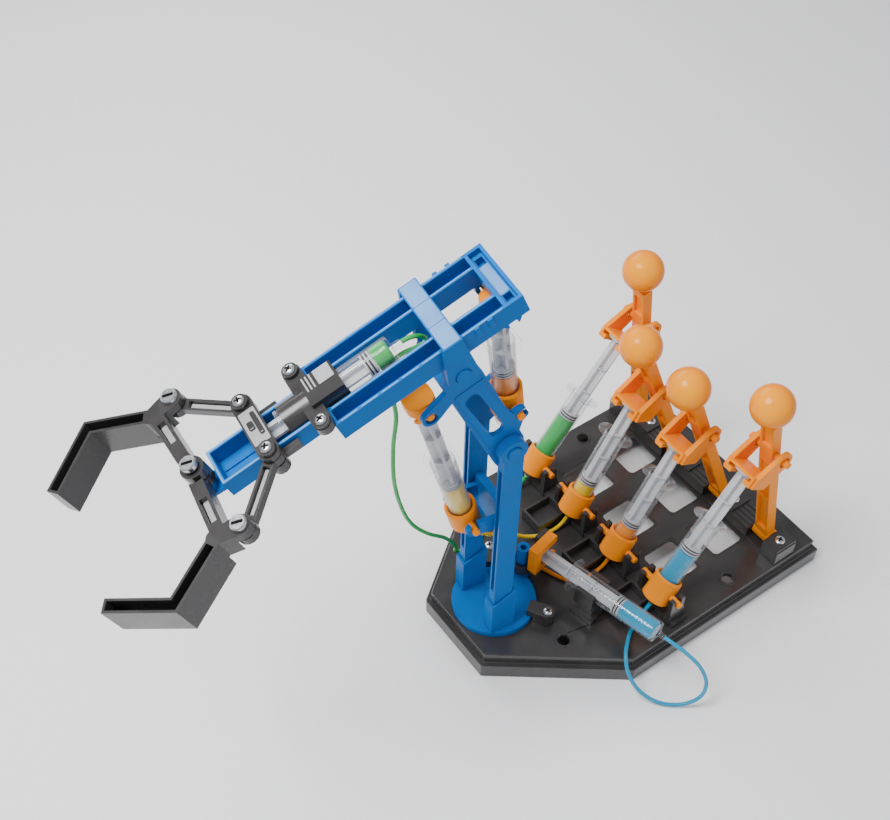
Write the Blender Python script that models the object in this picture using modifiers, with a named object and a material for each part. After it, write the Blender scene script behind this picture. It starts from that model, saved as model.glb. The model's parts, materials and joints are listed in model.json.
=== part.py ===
"""Hydraulic arm kit: a table-top arm whose four movements are worked by hand levers and syringes.

Every length below is in millimetres. The row frame has its origin under the middle of the base tray, +Z up,
+X towards the hand levers; the arm reaches towards -X. Each object is one moulded or turned piece.
"""
import math

import bmesh
import bpy
from mathutils import Matrix, Vector

MM = 0.001
GAP = 0.3              # clearance between pieces that touch
FACETS = 14            # sides of a small round piece

# --- base tray -------------------------------------------------------------------------------------------
DECK_TOP = 19.0
DECK_THICK = 3.0
HALF_LENGTH = 110.0
HALF_WIDTH = 80.0
SHOULDER_X = -39.6     # where the straight sides end and the nose taper begins
NOSE_HALF = 27.0
SKIRT_STEP_Z = 11.0
SKIRT_FLARE = 3.0
WALL = 3.0
CENTRE_RIB = 4.0       # half width of the rib under the middle of the deck
LANES = (60.0, 20.0, -20.0, -60.0)
WINDOW_ROWS = ((12.2, 38.1), (50.4, 75.0))
WINDOW_HALF = 13.5
WINDOW_Y = (40.0, 0.0, -40.0)
DECK_HOLES = ((45.0, 69.6), (45.0, -69.6), (-65.3, 46.0), (-65.3, -46.0))

# --- hand levers and master syringes ---------------------------------------------------------------------
LEVER_X, LEVER_Z = 84.3, 27.0
LEVER_LEAN = (7.5, 22.5, 22.5, 12.5)       # degrees towards the arm
LEVER_PIN = 95.0                           # lever pivot to its cross pin
LEVER_BALL = 140.0                         # lever pivot to the middle of the ball
BALL_R = 12.6
TRUNNION_X, TRUNNION_Z = -3.6, 38.5
YOKE_OFFSET, YOKE_REACH = 8.2, 16.5        # cross pin from the thumb disc: across and along the plunger

# --- syringes --------------------------------------------------------------------------------------------
BORE_R, BARREL_R = 6.1, 6.75
BARREL_LENGTH = 61.5
BARREL_FLOOR = 1.5
NOZZLE_LENGTH, NOZZLE_R, NOZZLE_BORE = 4.5, 2.0, 1.0
PISTON_R, PISTON_H = 5.8, 5.0
PLUNGER_LENGTH = 60.0                      # as on the hand levers, the turntable and the gripper
SHOULDER_PLUNGER, ELBOW_PLUNGER = 72.0, 44.0
RIB_HALF, RIB_THICK = 4.6, 1.6
THUMB_R, THUMB_H = 8.0, 1.6
FLANGE_H = 1.8
COLLAR_R, COLLAR_BORE = 8.8, 7.05
PIN_R = 2.0
MASTER_BELOW = 8.0                         # barrel's closed end below its trunnion
ELBOW_BELOW = 18.0

# --- turntable and tower (r forwards, s to the near side, z up) --------------------------------------------
TABLE_X = -82.7
TABLE_YAW = 172.6                          # direction in which the arm points, degrees from +X
TABLE_R = 25.7
TABLE_TOP = 23.0
POST_R0, POST_R1 = 1.0, 13.0
POST_S0, POST_S1 = 14.5, 20.3
SOCKET_TOP_BACK, SOCKET_TOP_FRONT = 58.0, 50.0
SHOULDER_R, SHOULDER_Z = 7.0, 184.3
LUG_R, LUG_S = -25.4, -10.2
LUG_RADIUS, LUG_TOP = 4.0, 46.0
SHOULDER_TRUNNION = (24.2, 122.3)          # r, z
SLEW_Z = 42.0
SLEW_PIVOT = (-39.0, -38.0)                # x, y of the swinging clamp on the base
SLEW_DIRECTION = 103.1                     # degrees from +X, clamp towards plunger
SLEW_BELOW = 47.0
SLEW_THUMB = 38.0

# --- lower arm (x forwards, z along the arm, from the shoulder pivot) ----------------------------------------
ARM_LEAN = 23.4
ARM_LENGTH = 82.1
ARM_S0, ARM_S1 = 11.2, 14.2
STUB_R = 4.0
ARM_EAR_PIN = (-13.1, 16.4)                # elbow syringe trunnion, in the lower arm's frame
ARM_FRONT_PIN = (23.5, 57.8)               # shoulder syringe cap pin, in the lower arm's frame
CAP_REACH = 6.0                            # cap pin beyond the thumb disc
CAP_THUMB_R = 6.3                          # thumb disc that a cap takes

# --- boom (u forwards, w to the near side, n up from the top edge) -------------------------------------------
BOOM_R, BOOM_Z = 44.7, 279.6
BOOM_PITCH = 22.1
BOOM_REAR, BOOM_FRONT, NOSE_FRONT = -38.5, 63.0, 119.5
BOOM_HALF, BOOM_DEPTH = 19.6, 12.0
RAIL_INNER, RAIL_WALL = 9.2, 1.8
NOSE_HALF_W, NOSE_DEPTH = 10.5, 11.0
ELBOW_U, ELBOW_N = 2.9, -20.4
REAR_PIN_U, REAR_PIN_N = -30.0, -18.0
SADDLE_HALF_U = 5.0
CHEEK_IN, CHEEK_OUT = 19.9, 22.5
GRIP_AXIS_N = -2.0
GRIP_CLOSED_U = 22.0
GRIP_FLANGE_R = 7.3
CLAMP_SCREW_U, CLAMP_SCREW_W = 66.4, 17.0
CROSSHEAD_U, CROSSHEAD_W = 93.0, 15.4
JAW_PIVOT_U = 126.2
JAW_PIN_U, JAW_PIN_W = 119.5, 41.3
JAW_BOTTOM, JAW_TOP = -2.0, 10.0
CLAW_BOTTOM = -9.0
JAW_HALF_BAND = 3.5

HOSE_D = 2.4

BLUE = ("kit_blue", (0.0, 0.13, 0.50), 0.28, 0.0)
DARK = ("kit_charcoal", (0.045, 0.045, 0.05), 0.42, 0.0)
ORANGE = ("kit_orange", (0.90, 0.24, 0.01), 0.30, 0.0)
BALL = ("kit_ball_orange", (0.95, 0.30, 0.005), 0.12, 0.0)
CLEAR = ("kit_clear", (0.80, 0.85, 0.87), 0.08, 0.0)
HOSES = {"green": (0.05, 0.45, 0.10), "yellow": (0.80, 0.72, 0.05),
         "orange": (0.90, 0.35, 0.02), "blue": (0.02, 0.45, 0.75)}


# --- tools -----------------------------------------------------------------------------------------------
def clear_scene():
    for item in list(bpy.data.objects):
        bpy.data.objects.remove(item)


def collection(name):
    made = bpy.data.collections.new(name)
    bpy.context.scene.collection.children.link(made)
    return made


def material(spec):
    name, colour, roughness, metallic = spec
    made = bpy.data.materials.get(name)
    if made is None:
        made = bpy.data.materials.new(name)
        made.use_nodes = True
        shader = made.node_tree.nodes["Principled BSDF"]
        shader.inputs["Base Color"].default_value = (*colour, 1.0)
        shader.inputs["Roughness"].default_value = roughness
        shader.inputs["Metallic"].default_value = metallic
    return made


def scratch(bm, move=None):
    """A working object in millimetres, not yet one of the kit's pieces."""
    bmesh.ops.remove_doubles(bm, verts=bm.verts, dist=0.001)
    bmesh.ops.recalc_face_normals(bm, faces=bm.faces)
    mesh = bpy.data.meshes.new("scratch")
    bm.to_mesh(mesh)
    bm.free()
    if move is not None:
        mesh.transform(move)
    made = bpy.data.objects.new("scratch", mesh)
    bpy.context.scene.collection.objects.link(made)
    return made


def block(x, y, z):
    """A box between three pairs of limits."""
    bm = bmesh.new()
    bmesh.ops.create_cube(bm, size=1.0)
    size = (x[1] - x[0], y[1] - y[0], z[1] - z[0])
    middle = ((x[0] + x[1]) / 2, (y[0] + y[1]) / 2, (z[0] + z[1]) / 2)
    bmesh.ops.scale(bm, verts=bm.verts, vec=size)
    bmesh.ops.translate(bm, verts=bm.verts, vec=middle)
    return scratch(bm)


TURN = {"x": Matrix.Rotation(math.radians(90), 4, "Y"),
        "y": Matrix.Rotation(math.radians(-90), 4, "X"),
        "z": Matrix.Identity(4)}


def rod(radius, low, high, at=(0.0, 0.0), axis="z", sides=FACETS, phase=5.0):
    """A cylinder along an axis, from low to high, at the other two coordinates in alphabetical order."""
    bm = bmesh.new()
    bmesh.ops.create_cone(bm, cap_ends=True, segments=sides, radius1=radius, radius2=radius, depth=high - low)
    bmesh.ops.rotate(bm, verts=bm.verts, matrix=Matrix.Rotation(math.radians(phase), 3, "Z"))
    bmesh.ops.rotate(bm, verts=bm.verts, matrix=TURN[axis].to_3x3())
    half = (low + high) / 2
    place = {"x": (half, at[0], at[1]), "y": (at[0], half, at[1]), "z": (at[0], at[1], half)}[axis]
    bmesh.ops.translate(bm, verts=bm.verts, vec=place)
    return scratch(bm)


def plate(outline, low, high, across="z"):
    """A flat outline made thick: across z the outline is (x, y), across y it is (x, z)."""
    curve = bpy.data.curves.new("outline", "CURVE")
    curve.dimensions = "2D"
    curve.fill_mode = "BOTH"
    curve.extrude = (high - low) / 2
    spline = curve.splines.new("POLY")
    spline.points.add(len(outline) - 1)
    for point, (a, b) in zip(spline.points, outline):
        point.co = (a, b, 0.0, 1.0)
    spline.use_cyclic_u = True
    flat = bpy.data.objects.new("outline", curve)
    bpy.context.scene.collection.objects.link(flat)
    bpy.context.view_layer.update()
    mesh = bpy.data.meshes.new_from_object(flat.evaluated_get(bpy.context.evaluated_depsgraph_get()))
    bpy.data.objects.remove(flat)
    bpy.data.curves.remove(curve)
    bm = bmesh.new()
    bm.from_mesh(mesh)
    bpy.data.meshes.remove(mesh)
    bmesh.ops.translate(bm, verts=bm.verts, vec=(0, 0, (low + high) / 2))
    if across == "y":                      # (x, y, thickness) becomes (x, thickness, z)
        bmesh.ops.transform(bm, verts=bm.verts, matrix=Matrix(((1, 0, 0, 0), (0, 0, 1, 0), (0, 1, 0, 0), (0, 0, 0, 1))))
    return scratch(bm)


def turned(profile, sides=FACETS):
    """A closed profile of (radius, height) points, turned once about Z."""
    mesh = bpy.data.meshes.new("profile")
    edges = [(i, (i + 1) % len(profile)) for i in range(len(profile))]
    mesh.from_pydata([(r, 0.0, z) for r, z in profile], edges, [])
    made = bpy.data.objects.new("profile", mesh)
    bpy.context.scene.collection.objects.link(made)
    screw = made.modifiers.new("turn", "SCREW")
    screw.axis = "Z"
    screw.steps = sides
    screw.render_steps = sides
    screw.use_merge_vertices = True
    screw.merge_threshold = 0.0001
    bpy.context.view_layer.update()
    done = bpy.data.meshes.new_from_object(made.evaluated_get(bpy.context.evaluated_depsgraph_get()))
    bpy.data.objects.remove(made)
    bm = bmesh.new()
    bm.from_mesh(done)
    bpy.data.meshes.remove(done)
    return scratch(bm)


def arc(centre, radius, start, end, steps=8):
    """Points on an arc, angles in degrees."""
    turns = [math.radians(start + (end - start) * i / steps) for i in range(steps + 1)]
    return [(centre[0] + radius * math.cos(t), centre[1] + radius * math.sin(t)) for t in turns]


def hull(points):
    """The outline around a set of points, counter-clockwise."""
    points = sorted(set((round(a, 5), round(b, 5)) for a, b in points))

    def half(run):
        kept = []
        for p in run:
            while len(kept) > 1 and ((kept[-1][0] - kept[-2][0]) * (p[1] - kept[-2][1])
                                     - (kept[-1][1] - kept[-2][1]) * (p[0] - kept[-2][0])) <= 1e-9:
                kept.pop()
            kept.append(p)
        return kept[:-1]

    return half(points) + half(points[::-1])


def strap(*circles, steps=16):
    """The outline wrapped round circles (a, b, radius), as round a belt's pulleys."""
    return hull([p for a, b, r in circles for p in arc((a, b), r, 0, 360, steps)[:-1]])


def rectangle(a, b):
    return [(a[0], b[0]), (a[1], b[0]), (a[1], b[1]), (a[0], b[1])]


def mirrored(make, low, high, **where):
    """The same shape on both sides of the middle plane: make(low, high) and make(-high, -low)."""
    return [make(low, high, **where), make(-high, -low, **where)]


def boolean(body, tool, operation):
    change = body.modifiers.new(operation.lower(), "BOOLEAN")
    change.operation = operation
    change.object = tool
    bpy.context.view_layer.update()
    done = bpy.data.meshes.new_from_object(body.evaluated_get(bpy.context.evaluated_depsgraph_get()))
    body.modifiers.clear()
    body.data = done
    bpy.data.objects.remove(tool)


def piece(name, look, frame, add, cut=(), then=()):
    """One of the kit's pieces: shapes joined, cutters taken away, last shapes joined, and placed at a frame."""
    body, *others = add
    for other in others:
        boolean(body, other, "UNION")
    for cutter in cut:
        boolean(body, cutter, "DIFFERENCE")
    for other in then:
        boolean(body, other, "UNION")
    bm = bmesh.new()
    bm.from_mesh(body.data)
    bmesh.ops.remove_doubles(bm, verts=bm.verts, dist=0.002)
    bmesh.ops.dissolve_degenerate(bm, edges=bm.edges, dist=0.002)
    bmesh.ops.dissolve_limit(bm, angle_limit=math.radians(0.2), verts=bm.verts, edges=bm.edges)
    mesh = bpy.data.meshes.new(name)
    bm.to_mesh(mesh)
    bm.free()
    bpy.data.objects.remove(body)
    mesh.transform(Matrix.Scale(MM, 4))
    mesh.materials.clear()
    mesh.materials.append(material(look))
    mesh.shade_smooth()
    mesh.set_sharp_from_angle(angle=math.radians(30))
    made = bpy.data.objects.new(name, mesh)
    kit.objects.link(made)
    made.matrix_world = frame
    return made


def at(x, y, z):
    return Matrix.Translation((x * MM, y * MM, z * MM))


def turn(degrees, axis):
    return Matrix.Rotation(math.radians(degrees), 4, axis)


# --- frames ----------------------------------------------------------------------------------------------
WORLD = Matrix.Identity(4)
ARM = at(TABLE_X, 0, 0) @ turn(TABLE_YAW, "Z")                         # r, s, z
LOWER = ARM @ at(SHOULDER_R, 0, SHOULDER_Z) @ turn(ARM_LEAN, "Y")       # x forwards, z along
BOOM = ARM @ at(BOOM_R, 0, BOOM_Z) @ turn(BOOM_PITCH, "Y")              # u, w, n


def tilted(frame, origin, target, offset=0.0):
    """A frame at origin = (x, z) in frame, whose Z points so that target lies offset along its X.
    Returns the frame and the distance along Z at which target lies."""
    dx, dz = target[0] - origin[0], target[1] - origin[1]
    reach = math.hypot(dx, dz)
    lean = math.degrees(math.atan2(dx, dz) - math.asin(offset / reach))
    return frame @ at(origin[0], 0, origin[1]) @ turn(lean, "Y"), math.sqrt(reach ** 2 - offset ** 2)


def in_arm(point):
    """A point (x, z) of the lower arm's frame as (r, z) of the tower's frame."""
    moved = at(SHOULDER_R, 0, SHOULDER_Z) @ turn(ARM_LEAN, "Y") @ (Vector((point[0], 0, point[1])) * MM)
    return moved.x / MM, moved.z / MM


def in_lower(point):
    """A point (u, n) of the boom's frame as (x, z) of the lower arm's frame."""
    moved = LOWER.inverted() @ BOOM @ (Vector((point[0], 0, point[1])) * MM)
    return moved.x / MM, moved.z / MM


# --- syringe pieces --------------------------------------------------------------------------------------
def barrel(name, frame, below, round_flange=False):
    """A clear barrel whose closed end is below the frame's origin, with a nozzle and a finger flange."""
    bottom = -below
    top = bottom + BARREL_LENGTH
    shell = turned([(NOZZLE_BORE, bottom - NOZZLE_LENGTH), (NOZZLE_R, bottom - NOZZLE_LENGTH), (NOZZLE_R, bottom),
                    (BARREL_R, bottom), (BARREL_R, top), (BORE_R, top), (BORE_R, bottom + BARREL_FLOOR),
                    (NOZZLE_BORE, bottom + BARREL_FLOOR)], sides=16)
    if round_flange:
        flange = arc((0, 0), GRIP_FLANGE_R, 0, 360, FACETS)[:-1]
    else:
        flange = hull(arc((0, 3.0), 9.0, 0, 360, 16)[:-1] + arc((0, -3.0), 9.0, 0, 360, 16)[:-1])
    add = [shell, plate(flange, top - FLANGE_H, top + 0.2)]
    cut = [rod(BORE_R, top - 4.0, top + 1.0, sides=16, phase=0.0)]
    return piece(name, CLEAR, frame, add, cut)


def plunger(name, frame, thumb, thumb_r=THUMB_R, length=PLUNGER_LENGTH):
    """A cross-ribbed rod with a piston at its front and a thumb disc at its back."""
    front = thumb - length
    a, b = RIB_HALF, RIB_THICK / 2
    cross = [(a, -b), (a, b), (b, b), (b, a), (-b, a), (-b, b), (-a, b), (-a, -b), (-b, -b), (-b, -a), (b, -a), (b, -b)]
    add = [plate(cross, front + 1.0, thumb + 0.8), rod(PISTON_R, front, front + PISTON_H),
           rod(thumb_r, thumb, thumb + THUMB_H)]
    return piece(name, CLEAR, frame, add)


def collar(name, frame, look=ORANGE):
    """A collar round a barrel, with a trunnion pin on each side."""
    add = [turned([(COLLAR_BORE, -8.0), (COLLAR_R, -8.0), (COLLAR_R, 9.0), (COLLAR_BORE, 9.0)])]
    add += mirrored(lambda a, b: rod(PIN_R, a, b, axis="y", sides=10), 8.0, 16.5)
    return piece(name, look, frame, add)


def thumb_slot(thumb, thumb_r=THUMB_R, open_to=-20.0):
    """Cutters for the slot that a thumb disc and its rod slide into from the -X side."""
    wide, narrow = thumb_r + 0.4, RIB_HALF + 0.4
    return [rod(wide, thumb - GAP, thumb + THUMB_H + GAP),
            block((open_to, 0.0), (-wide, wide), (thumb - GAP, thumb + THUMB_H + GAP)),
            block((open_to, narrow), (-narrow, narrow), (thumb - 8.0, thumb))]


def cap(name, frame, thumb):
    """The cap on a slave plunger's thumb disc, with a pin on each side beyond it."""
    corners = [p for a in (-2.2, 2.2) for b in (-2.2, 2.2) for p in arc((a, b), 5.6, 0, 360, 16)]
    add = [plate(hull(corners), thumb - 2.8, thumb + 8.6)]
    add += mirrored(lambda a, b: rod(PIN_R, a, b, at=(0, thumb + CAP_REACH), axis="y", sides=12), 6.0, 13.6)
    return piece(name, ORANGE, frame, add, thumb_slot(thumb, CAP_THUMB_R))


# --- base ------------------------------------------------------------------------------------------------
def base_outline(grow):
    """The deck outline, moved outwards by grow."""
    slope = math.hypot(HALF_WIDTH - NOSE_HALF, SHOULDER_X + HALF_LENGTH)
    unit = (HALF_WIDTH - NOSE_HALF) / slope, (SHOULDER_X + HALF_LENGTH) / slope
    nose = NOSE_HALF + grow * (1 - unit[0]) / unit[1]
    side = SHOULDER_X - grow * (1 - unit[1]) / unit[0]
    half = HALF_WIDTH + grow
    near = [(-HALF_LENGTH - grow, -nose), (side, -half), (HALF_LENGTH + grow, -half)]
    return near + [(x, -y) for x, y in reversed(near)]


def base_tray():
    cavity = base_outline(-WALL)
    front = [(min(x, -CENTRE_RIB), y) for x, y in cavity]
    rear = [(max(x, CENTRE_RIB), y) for x, y in cavity if x > 0]
    rear = [(CENTRE_RIB, -HALF_WIDTH + WALL), *rear, (CENTRE_RIB, HALF_WIDTH - WALL)]
    under = DECK_TOP - DECK_THICK
    windows = [block(row, (y - WINDOW_HALF, y + WINDOW_HALF), (under - 1, DECK_TOP + 1))
               for row in WINDOW_ROWS for y in WINDOW_Y]
    holes = [rod(3.6, under - 1, DECK_TOP + 1, at=place, sides=16) for place in DECK_HOLES]
    cuts = [plate(front, -1.0, under), plate(rear, -1.0, under), *windows, *holes,
            rod(3.9, under - 1, DECK_TOP + 1, at=(TABLE_X, 0))]
    add = [plate(base_outline(0.0), 0.0, DECK_TOP), plate(base_outline(SKIRT_FLARE), 0.0, SKIRT_STEP_Z)]
    piece("base_tray", DARK, WORLD, add, cuts)


def lever_block():
    """The bar across the back of the deck, with a slot and a pivot seat for each lever."""
    low = DECK_TOP + GAP
    add = [block((75.5, 92.0), (-79.0, 79.0), (low, 29.5))]
    add += [block((75.5, 92.0), (y - 18.5, y), (low + 1, 31.5)) for y in LANES]
    add += [block((75.5, 92.0), (LANES[0], 79.0), (low + 1, 31.5))]
    cut = [block((70.0, 98.0), (y - 6.6, y + 6.6), (low + 1.5, 35.0)) for y in LANES]
    cut += [rod(PIN_R + 0.35, y - 10.0, y + 10.0, at=(LEVER_X, LEVER_Z), axis="y", sides=12) for y in LANES]
    piece("lever_block", DARK, WORLD, add, cut)


def trunnion_rail():
    """The rail that carries a forked upright on each side of each master collar, and three open pockets."""
    low = DECK_TOP + GAP
    add = [block((-8.0, 4.0), (-77.0, 77.0), (low, 23.5))]
    cut = []
    for y in LANES:
        for side in (-1, 1):
            near, far = sorted((y + side * 11.5, y + side * 14.7))
            profile = [(-8.6, low + 1), (5.0, low + 1), (1.4, 34.0), (1.4, 43.0), (-8.6, 43.0)]
            add.append(plate(profile, near, far, across="y"))
        cut += [rod(PIN_R + 0.35, y - 15.5, y + 15.5, at=(TRUNNION_X, TRUNNION_Z), axis="y", sides=12),
                block((TRUNNION_X - 2.35, TRUNNION_X + 2.35), (y - 15.5, y + 15.5), (TRUNNION_Z, 45.0))]
    for y in LANES[:3]:
        add.append(block((-30.0, -7.0), (y - 37.0, y - 20.0), (low, 28.0)))
        cut.append(block((-28.4, -9.6), (y - 35.4, y - 21.6), (low + 1.5, 30.0)))
    piece("trunnion_rail", DARK, WORLD, add, cut)


def retainer_clip(name, degrees):
    """A screwed-down clip whose toe keeps the turntable's rim on the deck."""
    frame = at(TABLE_X, 0, 0) @ turn(degrees, "Z")
    add = [plate(hull(rectangle((22.3, 30.0), (-4.0, 4.0)) + arc((34.0, 0), 4.6, 0, 360, 16)), TABLE_TOP + GAP, 29.0),
           plate(hull(rectangle((TABLE_R + 0.8, 30.0), (-4.0, 4.0)) + arc((34.0, 0), 4.6, 0, 360, 16)),
                 DECK_TOP + GAP, TABLE_TOP + 1.0)]
    piece(name, DARK, frame, add)


def slew_bracket():
    """The post on the deck that the rotation syringe's clamp swings on."""
    frame = at(*SLEW_PIVOT, 0) @ turn(SLEW_DIRECTION - 90.0, "Z")
    add = [block((-9.0, 7.0), (-8.0, 8.0), (DECK_TOP + GAP, 23.0)), block((-6.0, 6.0), (-5.5, 5.5), (22.0, 31.8)),
           rod(PIN_R, 31.0, 34.5, sides=16)]
    piece("slew_bracket", DARK, frame, add)


# --- levers ----------------------------------------------------------------------------------------------
def lever(number, y, lean):
    frame = at(LEVER_X, y, LEVER_Z) @ turn(-lean, "Y")
    add = [block((-3.5, 3.5), (-5.0, 5.0), (0.0, 124.5)), rod(5.2, -6.2, 6.2, axis="y"),
           rod(PIN_R, -9.5, 9.5, axis="y", sides=10), rod(2.2, -15.0, 15.0, at=(0, LEVER_PIN), axis="y", sides=10),
           rod(3.0, 120.0, 132.0, sides=10)]
    cut = [block(x, (-3.4, 3.4), z) for x in ((-5.0, -1.4), (1.4, 5.0))
           for z in ((10.0, 46.0), (49.0, 86.0), (104.0, 119.0))]
    piece(f"lever_post_{number}", ORANGE, frame, add, cut)
    bm = bmesh.new()
    bmesh.ops.create_uvsphere(bm, u_segments=16, v_segments=8, radius=BALL_R)
    bmesh.ops.translate(bm, verts=bm.verts, vec=(0, 0, LEVER_BALL))
    piece(f"lever_ball_{number}", BALL, frame, [scratch(bm)], [rod(3.4, 118.0, 133.0, sides=10)])


def master(number, y, lean):
    """A lane's syringe: its barrel tilts in the rail, and its plunger carries the yoke on the lever's pin."""
    pin = (LEVER_X - LEVER_PIN * math.sin(math.radians(lean)), LEVER_Z + LEVER_PIN * math.cos(math.radians(lean)))
    frame, reach = tilted(at(0, y, 0), (TRUNNION_X, TRUNNION_Z), pin, YOKE_OFFSET)
    thumb = reach - YOKE_REACH
    barrel(f"master_barrel_{number}", frame, MASTER_BELOW)
    collar(f"master_collar_{number}", frame)
    plunger(f"master_plunger_{number}", frame, thumb)
    outline = hull([(-7.0, thumb - 3.2), (7.0, thumb - 3.2), (-7.0, thumb + 3.4)]
                   + arc((YOKE_OFFSET, thumb + YOKE_REACH), 6.2, 0, 360, 16))
    add = [block((-9.0, 9.0), (-10.0, 10.0), (thumb - 3.2, thumb + 3.6))]
    add += mirrored(lambda a, b: plate(outline, a, b, across="y"), 8.6, 11.6)
    cut = thumb_slot(thumb)
    cut += [rod(3.7, -13.0, 13.0, at=(YOKE_OFFSET, thumb + YOKE_REACH), axis="y", sides=16)]
    piece(f"lever_yoke_{number}", ORANGE, frame, add, cut)


# --- turntable, tower and rotation syringe -----------------------------------------------------------------
def turntable():
    socket = [(POST_R0 - 2.0, TABLE_TOP - 1), (POST_R1 + 1.5, TABLE_TOP - 1),
              (POST_R1 + 1.5, SOCKET_TOP_FRONT), (POST_R0 - 2.0, SOCKET_TOP_BACK)]
    add = [rod(TABLE_R, DECK_TOP + GAP, TABLE_TOP, sides=40), rod(3.5, 14.0, 20.0, sides=16),
           plate(strap((-16.0, -6.5, 6.0), (LUG_R, LUG_S, 5.2)), DECK_TOP + GAP, TABLE_TOP - 0.5),
           rod(LUG_RADIUS, DECK_TOP + 1, LUG_TOP, at=(LUG_R, LUG_S), sides=16)]
    add += mirrored(lambda a, b: plate(socket, a, b, across="y"), POST_S0 - 1.8, POST_S1 + 1.5)
    wide = (POST_R0 - GAP, POST_R1 + GAP)
    cut = mirrored(lambda a, b: block(wide, (a, b), (TABLE_TOP + 2.3, 70.0)), POST_S0 - GAP, POST_S1 + GAP)
    cut += [rod(2.0, LUG_TOP - 8.0, LUG_TOP + 1.0, at=(LUG_R, LUG_S), sides=12)]
    piece("turntable", BLUE, ARM, add, cut)


def tower_frame():
    post = rectangle((POST_R0, POST_R1), (TABLE_TOP + 2.6, 100.0))[:2]
    post += arc((SHOULDER_R, SHOULDER_Z), 8.0, -41.4, 221.4, 16)
    r, z = SHOULDER_TRUNNION
    add = mirrored(lambda a, b: plate(post, a, b, across="y"), POST_S0, POST_S1)
    add += [block((4.0, 9.0), (-15.5, 15.5), (110.0, 132.0))]
    add += mirrored(lambda a, b: plate(strap((7.0, z - 2.0, 5.0), (r, z, 5.0)), a, b, across="y"), 10.9, 13.9)
    cut = mirrored(lambda a, b: block((3.2, 14.0), (a, b), (62.0, 170.0)), POST_S0 + 1.5, POST_S1 - 1.5)
    cut += [rod(STUB_R + 0.35, -22.0, 22.0, at=(SHOULDER_R, SHOULDER_Z), axis="y"),
            rod(PIN_R + 0.35, -15.0, 15.0, at=(r, z), axis="y", sides=12),
            block((r - 2.35, r + 2.35), (-15.0, 15.0), (z, z + 8.0))]
    piece("tower_frame", BLUE, ARM, add, cut)


def slew_frame():
    """Z from the clamp towards the plunger, Y straight up."""
    heading = math.radians(SLEW_DIRECTION)
    z = Vector((math.cos(heading), math.sin(heading), 0))
    y = Vector((0, 0, 1))
    x = y.cross(z)
    columns = Matrix((x, y, z)).transposed().to_4x4()
    return at(*SLEW_PIVOT, SLEW_Z) @ columns


def slew_syringe():
    frame = slew_frame()
    lug = frame.inverted() @ ARM @ (Vector((LUG_R, LUG_S, SLEW_Z)) * MM)
    x, z = lug.x / MM, lug.z / MM
    barrel("slew_barrel", frame, SLEW_BELOW)
    piece("slew_clamp", DARK, frame,
          [block((-9.0, 9.0), (-9.5, 3.2), (-6.5, 6.5)), block((-7.5, 7.5), (-9.5, -6.0), (-7.5, 7.5))],
          [rod(COLLAR_BORE, -9.0, 9.0, sides=24), rod(PIN_R + 0.35, -10.5, -7.0, axis="y", sides=16)])
    plunger("slew_plunger", frame, SLEW_THUMB)
    piece("slew_yoke", ORANGE, frame,
          [block((-9.6, 9.6), (-10.5, 10.5), (SLEW_THUMB - 3.0, SLEW_THUMB + 3.4))], thumb_slot(SLEW_THUMB))
    back = SLEW_THUMB + 3.4 + GAP
    ring = plate(hull(arc((x, z), 7.6, 0, 360, 20)[:-1] + rectangle((-4.0, 9.0), (back, back + 1))), -14.5, -8.5, across="y")
    add = [ring, block((-9.6, -0.5), (-14.5, 10.5), (back, back + 3.0)), block((-9.6, 9.6), (-14.5, -8.5), (back, back + 2.5))]
    piece("slew_knuckle", DARK, frame, add,
          [rod(LUG_RADIUS + 1.5, -16.0, -7.0, at=(x, z), axis="y"), block((-7.5, -2.5), (-5.0, 6.0), (back - 1, back + 4)),
           block((-16.0, 16.0), (-10.8, 12.0), (30.0, back))])


def shoulder_syringe():
    target = in_arm(ARM_FRONT_PIN)
    frame, reach = tilted(ARM, SHOULDER_TRUNNION, target)
    barrel("shoulder_barrel", frame, MASTER_BELOW)
    collar("shoulder_collar", frame)
    plunger("shoulder_plunger", frame, reach - CAP_REACH, CAP_THUMB_R, SHOULDER_PLUNGER)
    cap("shoulder_cap", frame @ turn(180, "Z"), reach - CAP_REACH)


def elbow_syringe():
    frame, reach = tilted(LOWER, ARM_EAR_PIN, in_lower((REAR_PIN_U, REAR_PIN_N)))
    barrel("elbow_barrel", frame, ELBOW_BELOW)
    collar("elbow_collar", frame)
    plunger("elbow_plunger", frame, reach - CAP_REACH, CAP_THUMB_R, ELBOW_PLUNGER)
    cap("elbow_cap", frame, reach - CAP_REACH)


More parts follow.
